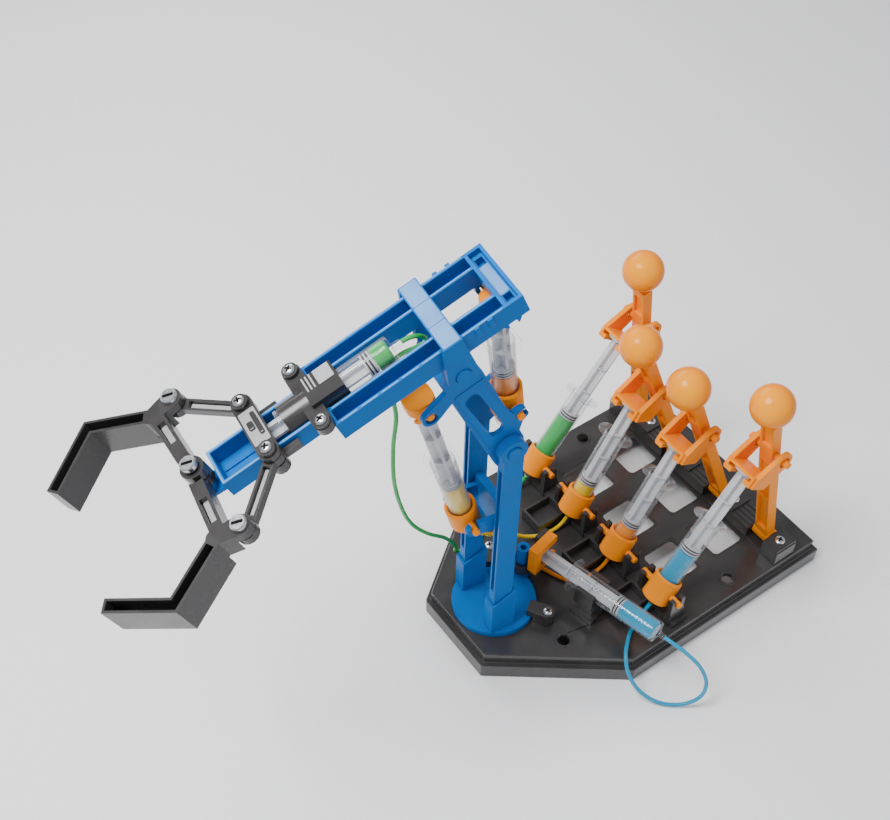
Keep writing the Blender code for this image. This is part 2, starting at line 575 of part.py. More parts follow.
# --- lower arm -------------------------------------------------------------------------------------------
def lower_arm():
    x, z = ARM_EAR_PIN
    side = ([(10.5, -12.0), (11.2, -6.0), (11.2, 72.0)] + arc((0, ARM_LENGTH), 7.5, -30, 200, 12)
            + [(-9.0, 66.0), (-9.0, 27.0)] + arc((x, z), 5.0, 60, 270, 10) + [(-9.0, 6.0)]
            + arc((0, 0), 9.0, 185, 265, 6) + [(5.0, -12.0)])
    front_x, front_z = ARM_FRONT_PIN
    add = mirrored(lambda a, b: plate(side, a, b, across="y"), ARM_S0, ARM_S1)
    add += [block((6.5, 10.6), (-12.0, 12.0), (-11.8, -2.0)), block((4.0, 11.0), (-12.0, 12.0), (60.0, 72.0))]
    ear = strap((6.0, 65.0, 3.8), (front_x, front_z, 5.0))
    add += mirrored(lambda a, b: plate(ear, a, b, across="y"), ARM_S0, ARM_S1)
    add += mirrored(lambda a, b: rod(STUB_R, a, b, axis="y"), ARM_S1 - 1.0, POST_S1 + 1.0)
    add += mirrored(lambda a, b: rod(7.0, a, b, at=(0, ARM_LENGTH), axis="y"), ARM_S1 - 1.0, CHEEK_IN - GAP)
    add += mirrored(lambda a, b: rod(STUB_R, a, b, at=(0, ARM_LENGTH), axis="y"), CHEEK_IN - 1.0, CHEEK_OUT + 0.8)
    cut = [rod(PIN_R + 0.35, -15.0, 15.0, at=(x, z), axis="y", sides=12),
           block((x - 8.0, x), (-15.0, 15.0), (z - 2.35, z + 2.35)),
           rod(PIN_R + 1.4, -15.0, 15.0, at=(front_x, front_z), axis="y"),
           plate(strap((0.6, 18.0, 4.2), (2.6, 50.0, 4.2)), ARM_S0 - 1.0, ARM_S1 + 1.0, across="y")]
    piece("lower_arm", BLUE, LOWER, add, cut)


# --- boom ------------------------------------------------------------------------------------------------
def boom():
    wall = RAIL_WALL
    inside = BOOM_HALF - wall
    ear = hull(rectangle((-34.0, -26.0), (-11.0, -10.0)) + arc((REAR_PIN_U, REAR_PIN_N), 5.2, 0, 360, 16))
    add = [block((BOOM_REAR, BOOM_FRONT), (-BOOM_HALF, BOOM_HALF), (-BOOM_DEPTH, 0.0)),
           block((BOOM_FRONT - 1, NOSE_FRONT), (-NOSE_HALF_W, NOSE_HALF_W), (-NOSE_DEPTH, 0.0)),
           plate(strap((JAW_PIVOT_U - 14.0, 0, 6.5), (JAW_PIVOT_U, 0, 5.5)), -NOSE_DEPTH + 0.5, -8.0),
           rod(4.5, -9.0, JAW_BOTTOM - GAP, at=(JAW_PIVOT_U, 0)),
           rod(2.6, -9.0, JAW_TOP + 2.0, at=(JAW_PIVOT_U, 0), sides=16)]
    add += mirrored(lambda a, b: plate(ear, a, b, across="y"), 10.9, 13.9)
    rail = (-28.5, BOOM_FRONT - 2.0)
    cut = [block((-28.5, BOOM_FRONT - 2.5), (-RAIL_INNER, RAIL_INNER), (-20.0, 5.0)),
           block((BOOM_FRONT - 3.0, NOSE_FRONT - wall), (-8.7, 8.7), (-9.6, 5.0)),
           block((BOOM_REAR + wall, -30.3), (-inside, inside), (-3.5, 5.0)),
           block((BOOM_REAR + wall, -30.3), (-9.0, 9.0), (-13.0, -5.3))]
    cut += mirrored(lambda a, b: block(rail, (a, b), (-BOOM_DEPTH + wall, 5.0)), RAIL_INNER + wall, inside)
    cut += [block((-35.6, -31.6), (w - 2.5, w + 2.5), (-8.0, 0.0)) for w in (-13.0, 13.0)]
    cut += [rod(PIN_R + 1.1, -15.0, 15.0, at=(REAR_PIN_U, REAR_PIN_N), axis="y", sides=12),
            block((REAR_PIN_U - 2.35, REAR_PIN_U + 2.35), (-15.0, 15.0), (REAR_PIN_N - 8.0, REAR_PIN_N))]
    piece("boom", BLUE, BOOM, add, cut)


def saddle():
    """The strap over the boom whose two cheeks hang from the elbow pivot."""
    cheek = hull(rectangle((-SADDLE_HALF_U, SADDLE_HALF_U), (1.0, 3.0)) + arc((ELBOW_U, ELBOW_N), 8.0, 0, 360, 20))
    add = [block((-SADDLE_HALF_U, SADDLE_HALF_U), (-CHEEK_OUT, CHEEK_OUT), (GAP, 3.0))]
    add += mirrored(lambda a, b: plate(cheek, a, b, across="y"), CHEEK_IN, CHEEK_OUT)
    piece("saddle", BLUE, BOOM, add, [rod(STUB_R + 0.35, -25.0, 25.0, at=(ELBOW_U, ELBOW_N), axis="y")])


def grip_syringe():
    frame = BOOM @ at(GRIP_CLOSED_U, 0, GRIP_AXIS_N) @ turn(90, "Y")
    barrel("grip_barrel", frame, 0.0, round_flange=True)
    plunger("grip_plunger", frame, CROSSHEAD_U - 0.8 - GRIP_CLOSED_U, thumb_r=7.0)
    add = [block((49.0, 66.5), (-8.35, 8.35), (-9.2, 7.0)),
           rod(8.4, 66.0, 81.0, at=(0, GRIP_AXIS_N), axis="x", sides=24),
           plate(strap((CLAMP_SCREW_U, -CLAMP_SCREW_W, 4.6), (CLAMP_SCREW_U, CLAMP_SCREW_W, 4.6)), GAP, 4.5)]
    add += [rod(4.1, 1.0, 6.5, at=(CLAMP_SCREW_U, w)) for w in (-CLAMP_SCREW_W, CLAMP_SCREW_W)]
    piece("grip_clamp", DARK, BOOM, add,
          [rod(COLLAR_BORE, 40.0, 90.0, at=(0, GRIP_AXIS_N), axis="x", sides=24),
           block((48.0, 82.0), (-9.0, 9.0), (-12.0, -9.2))])


# --- gripper ---------------------------------------------------------------------------------------------
def crosshead():
    """The sliding bar on the gripper plunger: two long pins under it carry the links."""
    u, w = CROSSHEAD_U, CROSSHEAD_W
    add = [plate(strap((u, -w, 5.2), (u, w, 5.2)), 5.6, 8.2)]
    for side in (-w, w):
        add += [rod(4.2, 8.0, 10.5, at=(u, side)), rod(2.2, -2.0, 6.0, at=(u, side), sides=16),
                rod(4.5, -7.0, -1.0, at=(u, side))]
    add += [block((u - 3.4, u - 1.1), (-5.5, 5.5), (2.9, 6.0)), block((u + 1.1, u + 3.4), (-5.5, 5.5), (0.5, 6.0))]
    add += mirrored(lambda a, b: block((u - 13.0, u + 2.0), (a, b), (-6.0, -2.0)), 11.2, 14.2)
    piece("crosshead", DARK, BOOM, add)


def link(name, side):
    """A flat bar from the crosshead's pin to a jaw's pin, on its own frame at the crosshead's pin."""
    run = (JAW_PIN_U - CROSSHEAD_U, side * (JAW_PIN_W - CROSSHEAD_W))
    length = math.hypot(*run)
    frame = BOOM @ at(CROSSHEAD_U, side * CROSSHEAD_W, 0) @ turn(math.degrees(math.atan2(run[1], run[0])), "Z")
    outline = arc((0, 0), 5.0, 37.0, 323.0, 12) + arc((length, 0), 5.4, -146.0, 146.0, 12)
    add = [plate(outline, 0.4, 4.9)]
    cut = [block((6.5, length - 7.0), (-1.8, 1.8), (2.2, 6.0)),
           rod(2.55, -3.0, 8.0, sides=16), rod(3.3, -3.0, 8.0, at=(length, 0), sides=16)]
    piece(name, DARK, frame, add, cut)


def band(points, half):
    """The outline of a bent bar of constant width along an open run of points."""
    left, right = [], []
    for i, (a, b) in enumerate(points):
        before = Vector(points[i]) - Vector(points[i - 1]) if i else None
        after = Vector(points[i + 1]) - Vector(points[i]) if i + 1 < len(points) else None
        runs = [v.normalized() for v in (before, after) if v is not None]
        middle = sum(runs, Vector((0, 0))).normalized()
        across = Vector((-middle.y, middle.x)) * (half / max(0.4, middle.dot(runs[0])))
        left.append((a + across.x, b + across.y))
        right.append((a - across.x, b - across.y))
    return left + right[::-1]


def jaw(name, side, low, high):
    """A bent claw with a channel along its top; its hub takes only its own half of the pivot."""
    frame = BOOM @ at(JAW_PIVOT_U, 0, 0)
    start = (JAW_PIN_U - JAW_PIVOT_U, side * JAW_PIN_W)
    run = [(0.0, 0.0), (1.5, side * 8.0), (3.3, side * 38.0), (34.5, side * 56.0), (62.5, side * 35.0)]
    claw = [(8.0, side * 40.7), (34.5, side * 56.0), (62.5, side * 35.0)]
    add = [plate(band(run, JAW_HALF_BAND), JAW_BOTTOM, JAW_TOP),
           plate(band(claw, JAW_HALF_BAND), CLAW_BOTTOM, JAW_TOP),
           plate(strap((*start, 5.2), (6.0, side * 39.0, 4.0)), JAW_BOTTOM, JAW_TOP),
           rod(6.0, low, high)]
    other = (JAW_BOTTOM - 1, low) if low > JAW_BOTTOM else (high, JAW_TOP + 1)
    cut = [rod(8.6, *other, sides=24), rod(2.95, JAW_BOTTOM - 1, JAW_TOP + 1, sides=16),
           plate(strap((*start, 6.4), (start[0] - 12.0, side * 20.0, 5.4)), JAW_BOTTOM - 1, 5.3),
           plate(band([(8.8, side * 41.2), (34.5, side * 56.0), (61.4, side * 35.8)], 2.2), CLAW_BOTTOM + 1.6, JAW_TOP + 1),
           plate(band([(2.2, side * 18.0), (3.0, side * 32.0)], 1.9), 6.5, JAW_TOP + 1)]
    piece(name, DARK, frame, add, cut, [rod(2.2, 0.6, 6.5, at=start, sides=12)])


# --- hoses -----------------------------------------------------------------------------------------------
def smooth(route, steps=3):
    """Points on one smooth curve through a route's own points."""
    run = [route[0] * 2 - route[1], *route, route[-1] * 2 - route[-2]]
    made = []
    for i in range(1, len(run) - 2):
        a, b, c, d = run[i - 1:i + 3]
        for k in range(steps):
            t = k / steps
            made.append(0.5 * (2 * b + (c - a) * t + (2 * a - 5 * b + 4 * c - d) * t * t
                               + (3 * b - a - 3 * c + d) * t ** 3))
    return made + [route[-1]]


def hose(colour, route):
    curve = bpy.data.curves.new(f"hose_{colour}", "CURVE")
    curve.dimensions = "3D"
    curve.bevel_depth = HOSE_D / 2 * MM
    curve.bevel_resolution = 2
    curve.use_fill_caps = True
    points = smooth(route)
    spline = curve.splines.new("POLY")
    spline.points.add(len(points) - 1)
    for place, point in zip(spline.points, points):
        place.co = (*(point * MM), 1.0)
    curve.materials.append(material((f"hose_{colour}", HOSES[colour], 0.15, 0.0)))
    kit.objects.link(bpy.data.objects.new(f"hose_{colour}", curve))


def nozzle_tip(frame, below, further=0.0):
    """Where a hose meets a barrel's nozzle, or a point further out along the nozzle's axis, in millimetres."""
    return frame @ (Vector((0, 0, -below - NOZZLE_LENGTH - GAP - further)) * MM) / MM


def master_frame(number):
    lean = math.radians(LEVER_LEAN[number - 1])
    pin = (LEVER_X - LEVER_PIN * math.sin(lean), LEVER_Z + LEVER_PIN * math.cos(lean))
    return tilted(at(0, LANES[number - 1], 0), (TRUNNION_X, TRUNNION_Z), pin, YOKE_OFFSET)[0]


def arm_point(r, s, z):
    return ARM @ (Vector((r, s, z)) * MM) / MM


def boom_point(u, w, n):
    return BOOM @ (Vector((u, w, n)) * MM) / MM


def hoses():
    shoulder = tilted(ARM, SHOULDER_TRUNNION, in_arm(ARM_FRONT_PIN))[0]
    elbow = tilted(LOWER, ARM_EAR_PIN, in_lower((REAR_PIN_U, REAR_PIN_N)))[0]
    tips = [nozzle_tip(master_frame(number), MASTER_BELOW) for number in (1, 2, 3, 4)]
    hose("green", [tips[0]] + [
        Vector(p) for p in ((-14.1, 60, 25.2), (-18.2, 60, 21.9), (-23.5, 59, 20.7), (-31.5, 56.4, 20.7), (-42, 52.4, 20.8),
                            (-53, 47, 20.8), (-64, 41, 21), (-75.5, 38.5, 23.5), (-84.5, 36.8, 30.5))] + [
        arm_point(*p) for p in ((9.5, -32.5, 43), (18.5, -29.5, 60), (32, -25, 78), (44, -22, 98), (52, -19, 122),
                                (57, -17, 150), (57, -17, 178), (55, -17, 200), (57, -18, 217), (59.5, -17.5, 232))] + [
        boom_point(*p) for p in ((26.5, -14.5, -29), (19.6, -11, -23.3), (13.2, -7.6, -21), (9.3, -4.6, -18.2),
                                 (7.3, -2.2, -14.2), (7.3, -0.6, -9.7), (9.3, 0, -5.7), (12.9, 0, -3), (17.2, 0, -2))])
    hose("yellow", [tips[1]] + [
        Vector(p) for p in ((-12.8, 20, 23.6), (-17.4, 20, 21.1), (-23, 20.4, 20.7), (-31, 22, 21.1), (-39.5, 24.4, 24.2),
                            (-47.5, 25.8, 30.5), (-56, 25, 40), (-66.5, 20.5, 53), (-78, 13, 69), (-89, 5.5, 87))] + [
        nozzle_tip(shoulder, MASTER_BELOW, d) for d in (9.0, 0.0)])
    hose("orange", [tips[2]] + [
        Vector(p) for p in ((-12.8, -20, 23.6), (-17.4, -20, 21.1), (-23, -20, 20.7), (-30.8, -19, 20.7),
                            (-37.3, -14.2, 20.7), (-41.4, -6.6, 20.9), (-44.5, 2, 21.5), (-48.5, 10.5, 23.5), (-54, 17, 30),
                            (-60.5, 18, 41), (-66.5, 14, 58), (-71, 8.5, 80), (-74.5, 4, 110), (-77, 1, 145))] + [
        nozzle_tip(elbow, ELBOW_BELOW, d) for d in (14.0, 0.0)])
    hose("blue", [nozzle_tip(slew_frame(), SLEW_BELOW, d) for d in (0.0, 5.0)] + [
        Vector(p) for p in ((-22.6, -101.5, 38.8), (-18.2, -110.5, 31.5), (-16.8, -117, 21), (-20.5, -118.3, 10.5),
                            (-28.5, -113.6, 3.2), (-38.5, -105, 2.4), (-46, -95, 8.5), (-48.5, -85.8, 18),
                            (-44.5, -77.4, 23.9), (-37, -70.5, 24.4), (-29.3, -65, 22), (-22.6, -61.7, 20.8),
                            (-17.2, -60.2, 22))] + [tips[3]])


# --- the kit ---------------------------------------------------------------------------------------------
clear_scene()
kit = collection("hydraulic_arm_kit")
base_tray()
lever_block()
trunnion_rail()
retainer_clip("retainer_clip_near", -59.0)
retainer_clip("retainer_clip_far", 58.0)
slew_bracket()
for index, (lane, lean_angle) in enumerate(zip(LANES, LEVER_LEAN)):
    lever(index + 1, lane, lean_angle)
    master(index + 1, lane, lean_angle)
turntable()
tower_frame()
slew_syringe()
lower_arm()
shoulder_syringe()
elbow_syringe()
boom()
saddle()
grip_syringe()
crosshead()
for label, hand, span in (("upper", -1, (4.3, JAW_TOP)), ("lower", 1, (JAW_BOTTOM, 3.7))):
    link(f"link_{label}", hand)
    jaw(f"jaw_{label}", hand, *span)
hoses()
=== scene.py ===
"""Looks of the hydraulic arm kit: fine syringes, balls, screws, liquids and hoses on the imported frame.

Shapes are made in millimetres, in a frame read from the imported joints, and scaled as they are placed.
"""

import json
import math

import bmesh
import bpy
from mathutils import Matrix, Vector


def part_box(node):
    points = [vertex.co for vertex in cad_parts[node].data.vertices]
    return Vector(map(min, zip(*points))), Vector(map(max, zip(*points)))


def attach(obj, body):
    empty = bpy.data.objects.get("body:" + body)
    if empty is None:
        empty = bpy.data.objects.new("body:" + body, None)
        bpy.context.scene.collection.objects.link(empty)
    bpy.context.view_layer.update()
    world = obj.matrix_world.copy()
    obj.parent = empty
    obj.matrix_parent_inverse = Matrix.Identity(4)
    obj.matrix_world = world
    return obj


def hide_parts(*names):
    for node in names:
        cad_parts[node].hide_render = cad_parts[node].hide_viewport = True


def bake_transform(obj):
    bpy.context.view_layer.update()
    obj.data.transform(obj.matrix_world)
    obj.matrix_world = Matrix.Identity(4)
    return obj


MM = 0.001
IDENTITY = Matrix.Identity(4)

# sizes that the frame doesn't state, as in the CAD
NOZZLE_LENGTH, NOZZLE_R, NOZZLE_BORE = 4.5, 2.0, 1.0
BARREL_R, BORE_R, BARREL_FLOOR = 6.75, 6.1, 1.5
FLANGE_H, THUMB_H, PISTON_R, PISTON_H = 1.8, 1.6, 5.8, 5.0
RIB_HALF, RIB_THICK = 4.6, 1.6
COLLAR_R, COLLAR_BORE, PIN_R = 8.8, 7.05, 2.0
THUMB_R, CAP_THUMB_R, GRIP_THUMB_R = 8.0, 6.3, 7.0
BALL_R, BALL_NECK, LEVER_BALL = 12.6, 3.4, 140.0
DECK_TOP = 19.0
TABLE_X, TABLE_TOP, TABLE_YAW = -82.7, 23.0, 172.6
LANES = (60.0, 20.0, -20.0, -60.0)
WINDOW_ROWS, WINDOW_Y, WINDOW_HALF = ((12.2, 38.1), (50.4, 75.0)), (40.0, 0.0, -40.0), 13.5
DECK_HOLES = ((45.0, 69.6), (45.0, -69.6), (-65.3, 46.0), (-65.3, -46.0))
ELBOW_IN_BOOM = (2.9, -20.4)
LOWER_ORIGIN, LOWER_LEAN = (7.0, 0.0, 184.3), 23.4
CROSSHEAD, JAW_PIN, JAW_HUB = (93.0, 15.4), (119.5, 41.3), 126.2
HOSE_D = 2.4
CLIP_RADIUS, CLIP_TURNS = 34.4, (-59, 58)

# how finely a hose's curve is cut, and the angle that counts as an edge
CURVE_STEPS = 6
EDGE_ANGLE = math.radians(35)

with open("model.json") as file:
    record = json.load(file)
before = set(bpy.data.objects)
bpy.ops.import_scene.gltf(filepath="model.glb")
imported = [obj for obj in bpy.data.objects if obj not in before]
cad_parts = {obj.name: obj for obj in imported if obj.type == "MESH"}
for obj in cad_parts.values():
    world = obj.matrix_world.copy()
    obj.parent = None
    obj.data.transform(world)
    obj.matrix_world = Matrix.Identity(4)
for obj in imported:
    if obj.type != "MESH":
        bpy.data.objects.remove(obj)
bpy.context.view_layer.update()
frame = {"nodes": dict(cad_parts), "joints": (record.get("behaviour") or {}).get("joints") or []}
joints = {joint["name"]: joint for joint in frame["joints"]}


# --- places ---------------------------------------------------------------------------------------------
def columns(origin, x, y, z):
    """A frame from three axes and an origin in metres."""
    made = Matrix((x, y, z)).transposed().to_4x4()
    made.translation = origin
    return made


def on_joint(pivot, slide):
    """A syringe's frame: Z along its slide, Y along the axis it tilts about, at that pivot."""
    z = Vector(joints[slide]["axis"]).normalized()
    y = Vector(joints[pivot]["axis"])
    y = (y - z * y.dot(z)).normalized()
    return columns(Vector(joints[pivot]["pos_m"]), y.cross(z), y, z)


def boom_frame():
    """u forwards, w to the near side, n up, from the top edge of the boom over the elbow."""
    u = Vector(joints["grip_slide"]["axis"]).normalized()
    w = Vector(joints["elbow"]["axis"]).normalized()
    n = u.cross(w)
    origin = Vector(joints["elbow"]["pos_m"]) - (u * ELBOW_IN_BOOM[0] + n * ELBOW_IN_BOOM[1]) * MM
    return columns(origin, u, w, n)


def move(x, y, z):
    return Matrix.Translation((x * MM, y * MM, z * MM))


def turn(degrees, axis):
    return Matrix.Rotation(math.radians(degrees), 4, axis)


ARM = move(TABLE_X, 0, 0) @ turn(TABLE_YAW, "Z")
BOOM = boom_frame()


def reach(node, place):
    """How far a CAD node runs along a frame's Z, in millimetres."""
    inverse = place.inverted()
    along = [(inverse @ v.co).z / MM for v in frame["nodes"][node].data.vertices]
    return min(along), max(along)


# --- camera and lights ----------------------------------------------------------------------------------
def camera():
    data = bpy.data.cameras.new("camera")
    data.sensor_width = 36.0
    data.lens = 54.755
    data.shift_x = 0.0207
    data.shift_y = 0.0351
    data.clip_start = 0.01
    az, el, roll = (math.radians(a) for a in (-35.49, 49.61, 0.29))
    back = Vector((math.sin(az) * math.cos(el), -math.cos(az) * math.cos(el), math.sin(el)))
    right = Vector((math.cos(az), math.sin(az), 0.0))
    up = back.cross(right)
    x = right * math.cos(roll) + up * math.sin(roll)
    y = up * math.cos(roll) - right * math.sin(roll)
    made = bpy.data.objects.new("camera", data)
    made.matrix_world = columns(Vector((-0.38291, -0.35006, 0.70848)), x, y, back)
    bpy.context.scene.collection.objects.link(made)
    bpy.context.scene.camera = made


def area_light(name, place, aim, size, power):
    data = bpy.data.lights.new(name, "AREA")
    data.shape = "RECTANGLE"
    data.size, data.size_y = size
    data.energy = power
    made = bpy.data.objects.new(name, data)
    made.location = place
    made.rotation_euler = (Vector(aim) - Vector(place)).to_track_quat("-Z", "Y").to_euler()
    bpy.context.scene.collection.objects.link(made)


def studio():
    world = bpy.data.worlds.new("studio")
    world.use_nodes = True
    background = world.node_tree.nodes["Background"]
    background.inputs["Color"].default_value = (0.93, 0.95, 1.0, 1.0)
    background.inputs["Strength"].default_value = 0.5
    bpy.context.scene.world = world
    area_light("key", (-0.5, 0.1, 1.0), (-0.08, 0, 0.08), (0.45, 0.45), 15.0)
    area_light("fill", (0.5, -0.9, 0.6), (0, 0, 0.1), (0.9, 0.9), 2.5)
    area_light("rim", (0.1, 0.9, 0.7), (-0.1, 0, 0.15), (0.8, 0.4), 5.0)
    bm = bmesh.new()
    bmesh.ops.create_grid(bm, x_segments=1, y_segments=1, size=3.0)
    mesh = bpy.data.meshes.new("floor")
    bm.to_mesh(mesh)
    bm.free()
    floor = bpy.data.objects.new("floor", mesh)
    floor.location.z = -0.0003
    mesh.materials.append(paper())
    bpy.context.scene.collection.objects.link(floor)


# --- materials ------------------------------------------------------------------------------------------
def shader(name):
    made = bpy.data.materials.new(name)
    made.use_nodes = True
    return made, made.node_tree.nodes, made.node_tree.links, made.node_tree.nodes["Principled BSDF"]


def noise(nodes, links, scale, detail=2.0):
    where = nodes.new("ShaderNodeTexCoord")
    made = nodes.new("ShaderNodeTexNoise")
    made.inputs["Scale"].default_value = scale
    made.inputs["Detail"].default_value = detail
    links.new(where.outputs["Object"], made.inputs["Vector"])
    return made


def spread(nodes, links, source, low, high):
    made = nodes.new("ShaderNodeMapRange")
    made.inputs["From Min"].default_value = 0.3
    made.inputs["From Max"].default_value = 0.7
    made.inputs["To Min"].default_value = low
    made.inputs["To Max"].default_value = high
    links.new(source, made.inputs["Value"])
    return made.outputs["Result"]


def bump(nodes, links, source, strength, distance, target):
    made = nodes.new("ShaderNodeBump")
    made.inputs["Strength"].default_value = strength
    made.inputs["Distance"].default_value = distance
    links.new(source, made.inputs["Height"])
    links.new(made.outputs["Normal"], target.inputs["Normal"])


def tint(nodes, links, source, colour, change, target):
    """The colour, drifting a little lighter and darker with a noise."""
    ramp = nodes.new("ShaderNodeValToRGB")
    for stop, factor in zip(ramp.color_ramp.elements, (1 - change, 1 + change)):
        stop.color = (*(min(1.0, c * factor) for c in colour), 1.0)
    ramp.color_ramp.elements[0].position = 0.35
    ramp.color_ramp.elements[1].position = 0.65
    links.new(source, ramp.inputs["Fac"])
    links.new(ramp.outputs["Color"], target.inputs["Base Color"])


def moulded(name, colour, rough, change=0.08, gloss=0.3, coat=0.0, grain=0.10):
    """Injection-moulded plastic: a slight drift of shade, uneven gloss and a fine skin."""
    made, nodes, links, surface = shader(name)
    broad = noise(nodes, links, 55.0, 3.0)
    fine = noise(nodes, links, 1400.0)
    tint(nodes, links, broad.outputs["Fac"], colour, change, surface)
    uneven = spread(nodes, links, broad.outputs["Fac"], rough * 0.8, rough * 1.25)
    links.new(uneven, surface.inputs["Roughness"])
    surface.inputs["Specular IOR Level"].default_value = gloss
    surface.inputs["Coat Weight"].default_value = coat
    surface.inputs["Coat Roughness"].default_value = 0.05
    bump(nodes, links, fine.outputs["Fac"], grain, 0.0001, surface)
    return made


def glossy_ball():
    """Polished orange, with painted shade that deepens it towards the outline."""
    made = moulded("ball_plastic", (0.95, 0.34, 0.0), 0.16, 0.03, gloss=0.1, coat=0.1, grain=0.02)
    nodes, links = made.node_tree.nodes, made.node_tree.links
    base = nodes["Principled BSDF"].inputs["Base Color"]
    # painted shade: a darker orange mixed in as the surface turns away from the view
    facing = nodes.new("ShaderNodeLayerWeight")
    facing.inputs["Blend"].default_value = 0.3
    rim_shade = nodes.new("ShaderNodeMix")
    rim_shade.data_type = "RGBA"
    rim_shade.inputs["B"].default_value = (0.72, 0.11, 0.0, 1.0)
    links.new(facing.outputs["Facing"], rim_shade.inputs["Factor"])
    links.new(base.links[0].from_socket, rim_shade.inputs["A"])
    links.new(rim_shade.outputs["Result"], base)
    return made


def clear(name, colour, face, edge, rough=0.06, metal=0.0, power=2.5, gloss=0.8):
    """Clear plastic or water: see-through face on, denser towards its edges."""
    made, nodes, links, surface = shader(name)
    facing = nodes.new("ShaderNodeLayerWeight")
    facing.inputs["Blend"].default_value = 0.5
    steep = nodes.new("ShaderNodeMath")
    steep.operation = "POWER"
    steep.inputs[1].default_value = power
    thick = nodes.new("ShaderNodeMapRange")
    thick.inputs["To Min"].default_value = face
    thick.inputs["To Max"].default_value = edge
    links.new(facing.outputs["Facing"], steep.inputs[0])
    links.new(steep.outputs["Value"], thick.inputs["Value"])
    links.new(thick.outputs["Result"], surface.inputs["Alpha"])
    soft = noise(nodes, links, 40.0)
    tint(nodes, links, soft.outputs["Fac"], colour, 0.04, surface)
    uneven = spread(nodes, links, soft.outputs["Fac"], rough * 0.6, rough * 1.6)
    links.new(uneven, surface.inputs["Roughness"])
    surface.inputs["Metallic"].default_value = metal
    surface.inputs["Specular IOR Level"].default_value = gloss
    return made


def plated():
    """Zinc-plated screw steel with faint turning marks."""
    made, nodes, links, surface = shader("screw_steel")
    marks = noise(nodes, links, 600.0)
    tint(nodes, links, marks.outputs["Fac"], (0.66, 0.67, 0.69), 0.05, surface)
    surface.inputs["Metallic"].default_value = 1.0
    links.new(spread(nodes, links, marks.outputs["Fac"], 0.24, 0.32), surface.inputs["Roughness"])
    bump(nodes, links, marks.outputs["Fac"], 0.02, 0.0001, surface)
    return made


def paper():
    made, nodes, links, surface = shader("floor_paper")
    grain = noise(nodes, links, 300.0)
    tint(nodes, links, grain.outputs["Fac"], (0.93, 0.93, 0.94), 0.01, surface)
    surface.inputs["Roughness"].default_value = 0.7
    bump(nodes, links, grain.outputs["Fac"], 0.05, 0.0002, surface)
    return made


LOOKS = {
    "charcoal": moulded("charcoal_plastic", (0.040, 0.038, 0.038), 0.18, 0.12, gloss=0.5),
    "dark": moulded("gripper_plastic", (0.032, 0.030, 0.030), 0.26, 0.12, gloss=0.5),
    "grey": moulded("grey_plastic", (0.36, 0.36, 0.37), 0.3, 0.08, gloss=0.3),
    "blue": moulded("blue_plastic", (0.0, 0.125, 0.43), 0.36, 0.06, gloss=0.09),
    # painted highlight: a lighter blue for thin plates laid where the blue plastic catches the light
    "blue_highlight": moulded("painted_highlight_blue", (0.15, 0.31, 0.60), 0.3, 0.06, gloss=0.2),
    "orange": moulded("orange_plastic", (0.90, 0.26, 0.0), 0.36, 0.06, gloss=0.10),
    "ball": glossy_ball(),
    "clear": clear("clear_plastic", (0.60, 0.63, 0.67), 0.03, 0.97, 0.05, metal=0.5, power=3.6),
    "plunger": clear("plunger_plastic", (0.62, 0.64, 0.67), 0.72, 0.92, 0.2, gloss=0.4),
    "seal": moulded("piston_rubber", (0.03, 0.03, 0.035), 0.5),
    "pit": moulded("recess_shadow", (0.006, 0.006, 0.006), 0.6, gloss=0.05),
    "screw": plated(),
}
WATER = {"green": (0.02, 0.40, 0.07), "yellow": (0.90, 0.60, 0.0), "orange": (0.95, 0.28, 0.0),
         "blue": (0.0, 0.30, 0.52)}
for tone, shade in WATER.items():
    LOOKS[f"water_{tone}"] = clear(f"water_{tone}", shade, 0.85, 1.0, 0.08, gloss=0.3)
    LOOKS[f"hose_{tone}"] = clear(f"hose_{tone}", shade, 0.85, 0.98, 0.10, gloss=0.3)


# --- shapes, in millimetres -----------------------------------------------------------------------------
def lathe(profile, segments=48):
    """A profile of (radius, height) points turned about Z."""
    bm = bmesh.new()
    points = [bm.verts.new((r, 0.0, z)) for r, z in profile]
    edges = [bm.edges.new(pair) for pair in zip(points, points[1:])]
    bmesh.ops.spin(bm, geom=points + edges, cent=(0, 0, 0), axis=(0, 0, 1), angle=math.tau, steps=segments)
    bmesh.ops.remove_doubles(bm, verts=bm.verts, dist=0.0005)
    bmesh.ops.recalc_face_normals(bm, faces=bm.faces)
    return bm


def plate(outlines, low, high, soften=0.0):
    """Flat outlines made thick, with softened edges; an outline inside another is a hole."""
    curve = bpy.data.curves.new("outline", "CURVE")
    curve.dimensions = "2D"
    curve.fill_mode = "BOTH"
    curve.extrude = (high - low) / 2 - soften
    curve.bevel_depth = soften
    curve.bevel_resolution = 1
    curve.offset = -soften
    for outline in outlines:
        spline = curve.splines.new("POLY")
        spline.points.add(len(outline) - 1)
        for point, (x, y) in zip(spline.points, outline):
            point.co = (x, y, 0.0, 1.0)
        spline.use_cyclic_u = True
    flat = bpy.data.objects.new("outline", curve)
    bpy.context.scene.collection.objects.link(flat)
    bpy.context.view_layer.update()
    mesh = bpy.data.meshes.new_from_object(flat.evaluated_get(bpy.context.evaluated_depsgraph_get()))
    bpy.data.objects.remove(flat)
    bpy.data.curves.remove(curve)
    bm = bmesh.new()
    bm.from_mesh(mesh)
    bpy.data.meshes.remove(mesh)
    bmesh.ops.remove_doubles(bm, verts=bm.verts, dist=0.002)
    bmesh.ops.recalc_face_normals(bm, faces=bm.faces)
    bmesh.ops.translate(bm, verts=bm.verts, vec=(0, 0, (low + high) / 2))
    return bm


def arc(centre, radius, start, end, steps):
    turns = [math.radians(start + (end - start) * i / steps) for i in range(steps + 1)]
    return [(centre[0] + radius * math.cos(t), centre[1] + radius * math.sin(t)) for t in turns]


def circle(radius, steps=48, centre=(0.0, 0.0)):
    return arc(centre, radius, 0, 360, steps)[:-1]


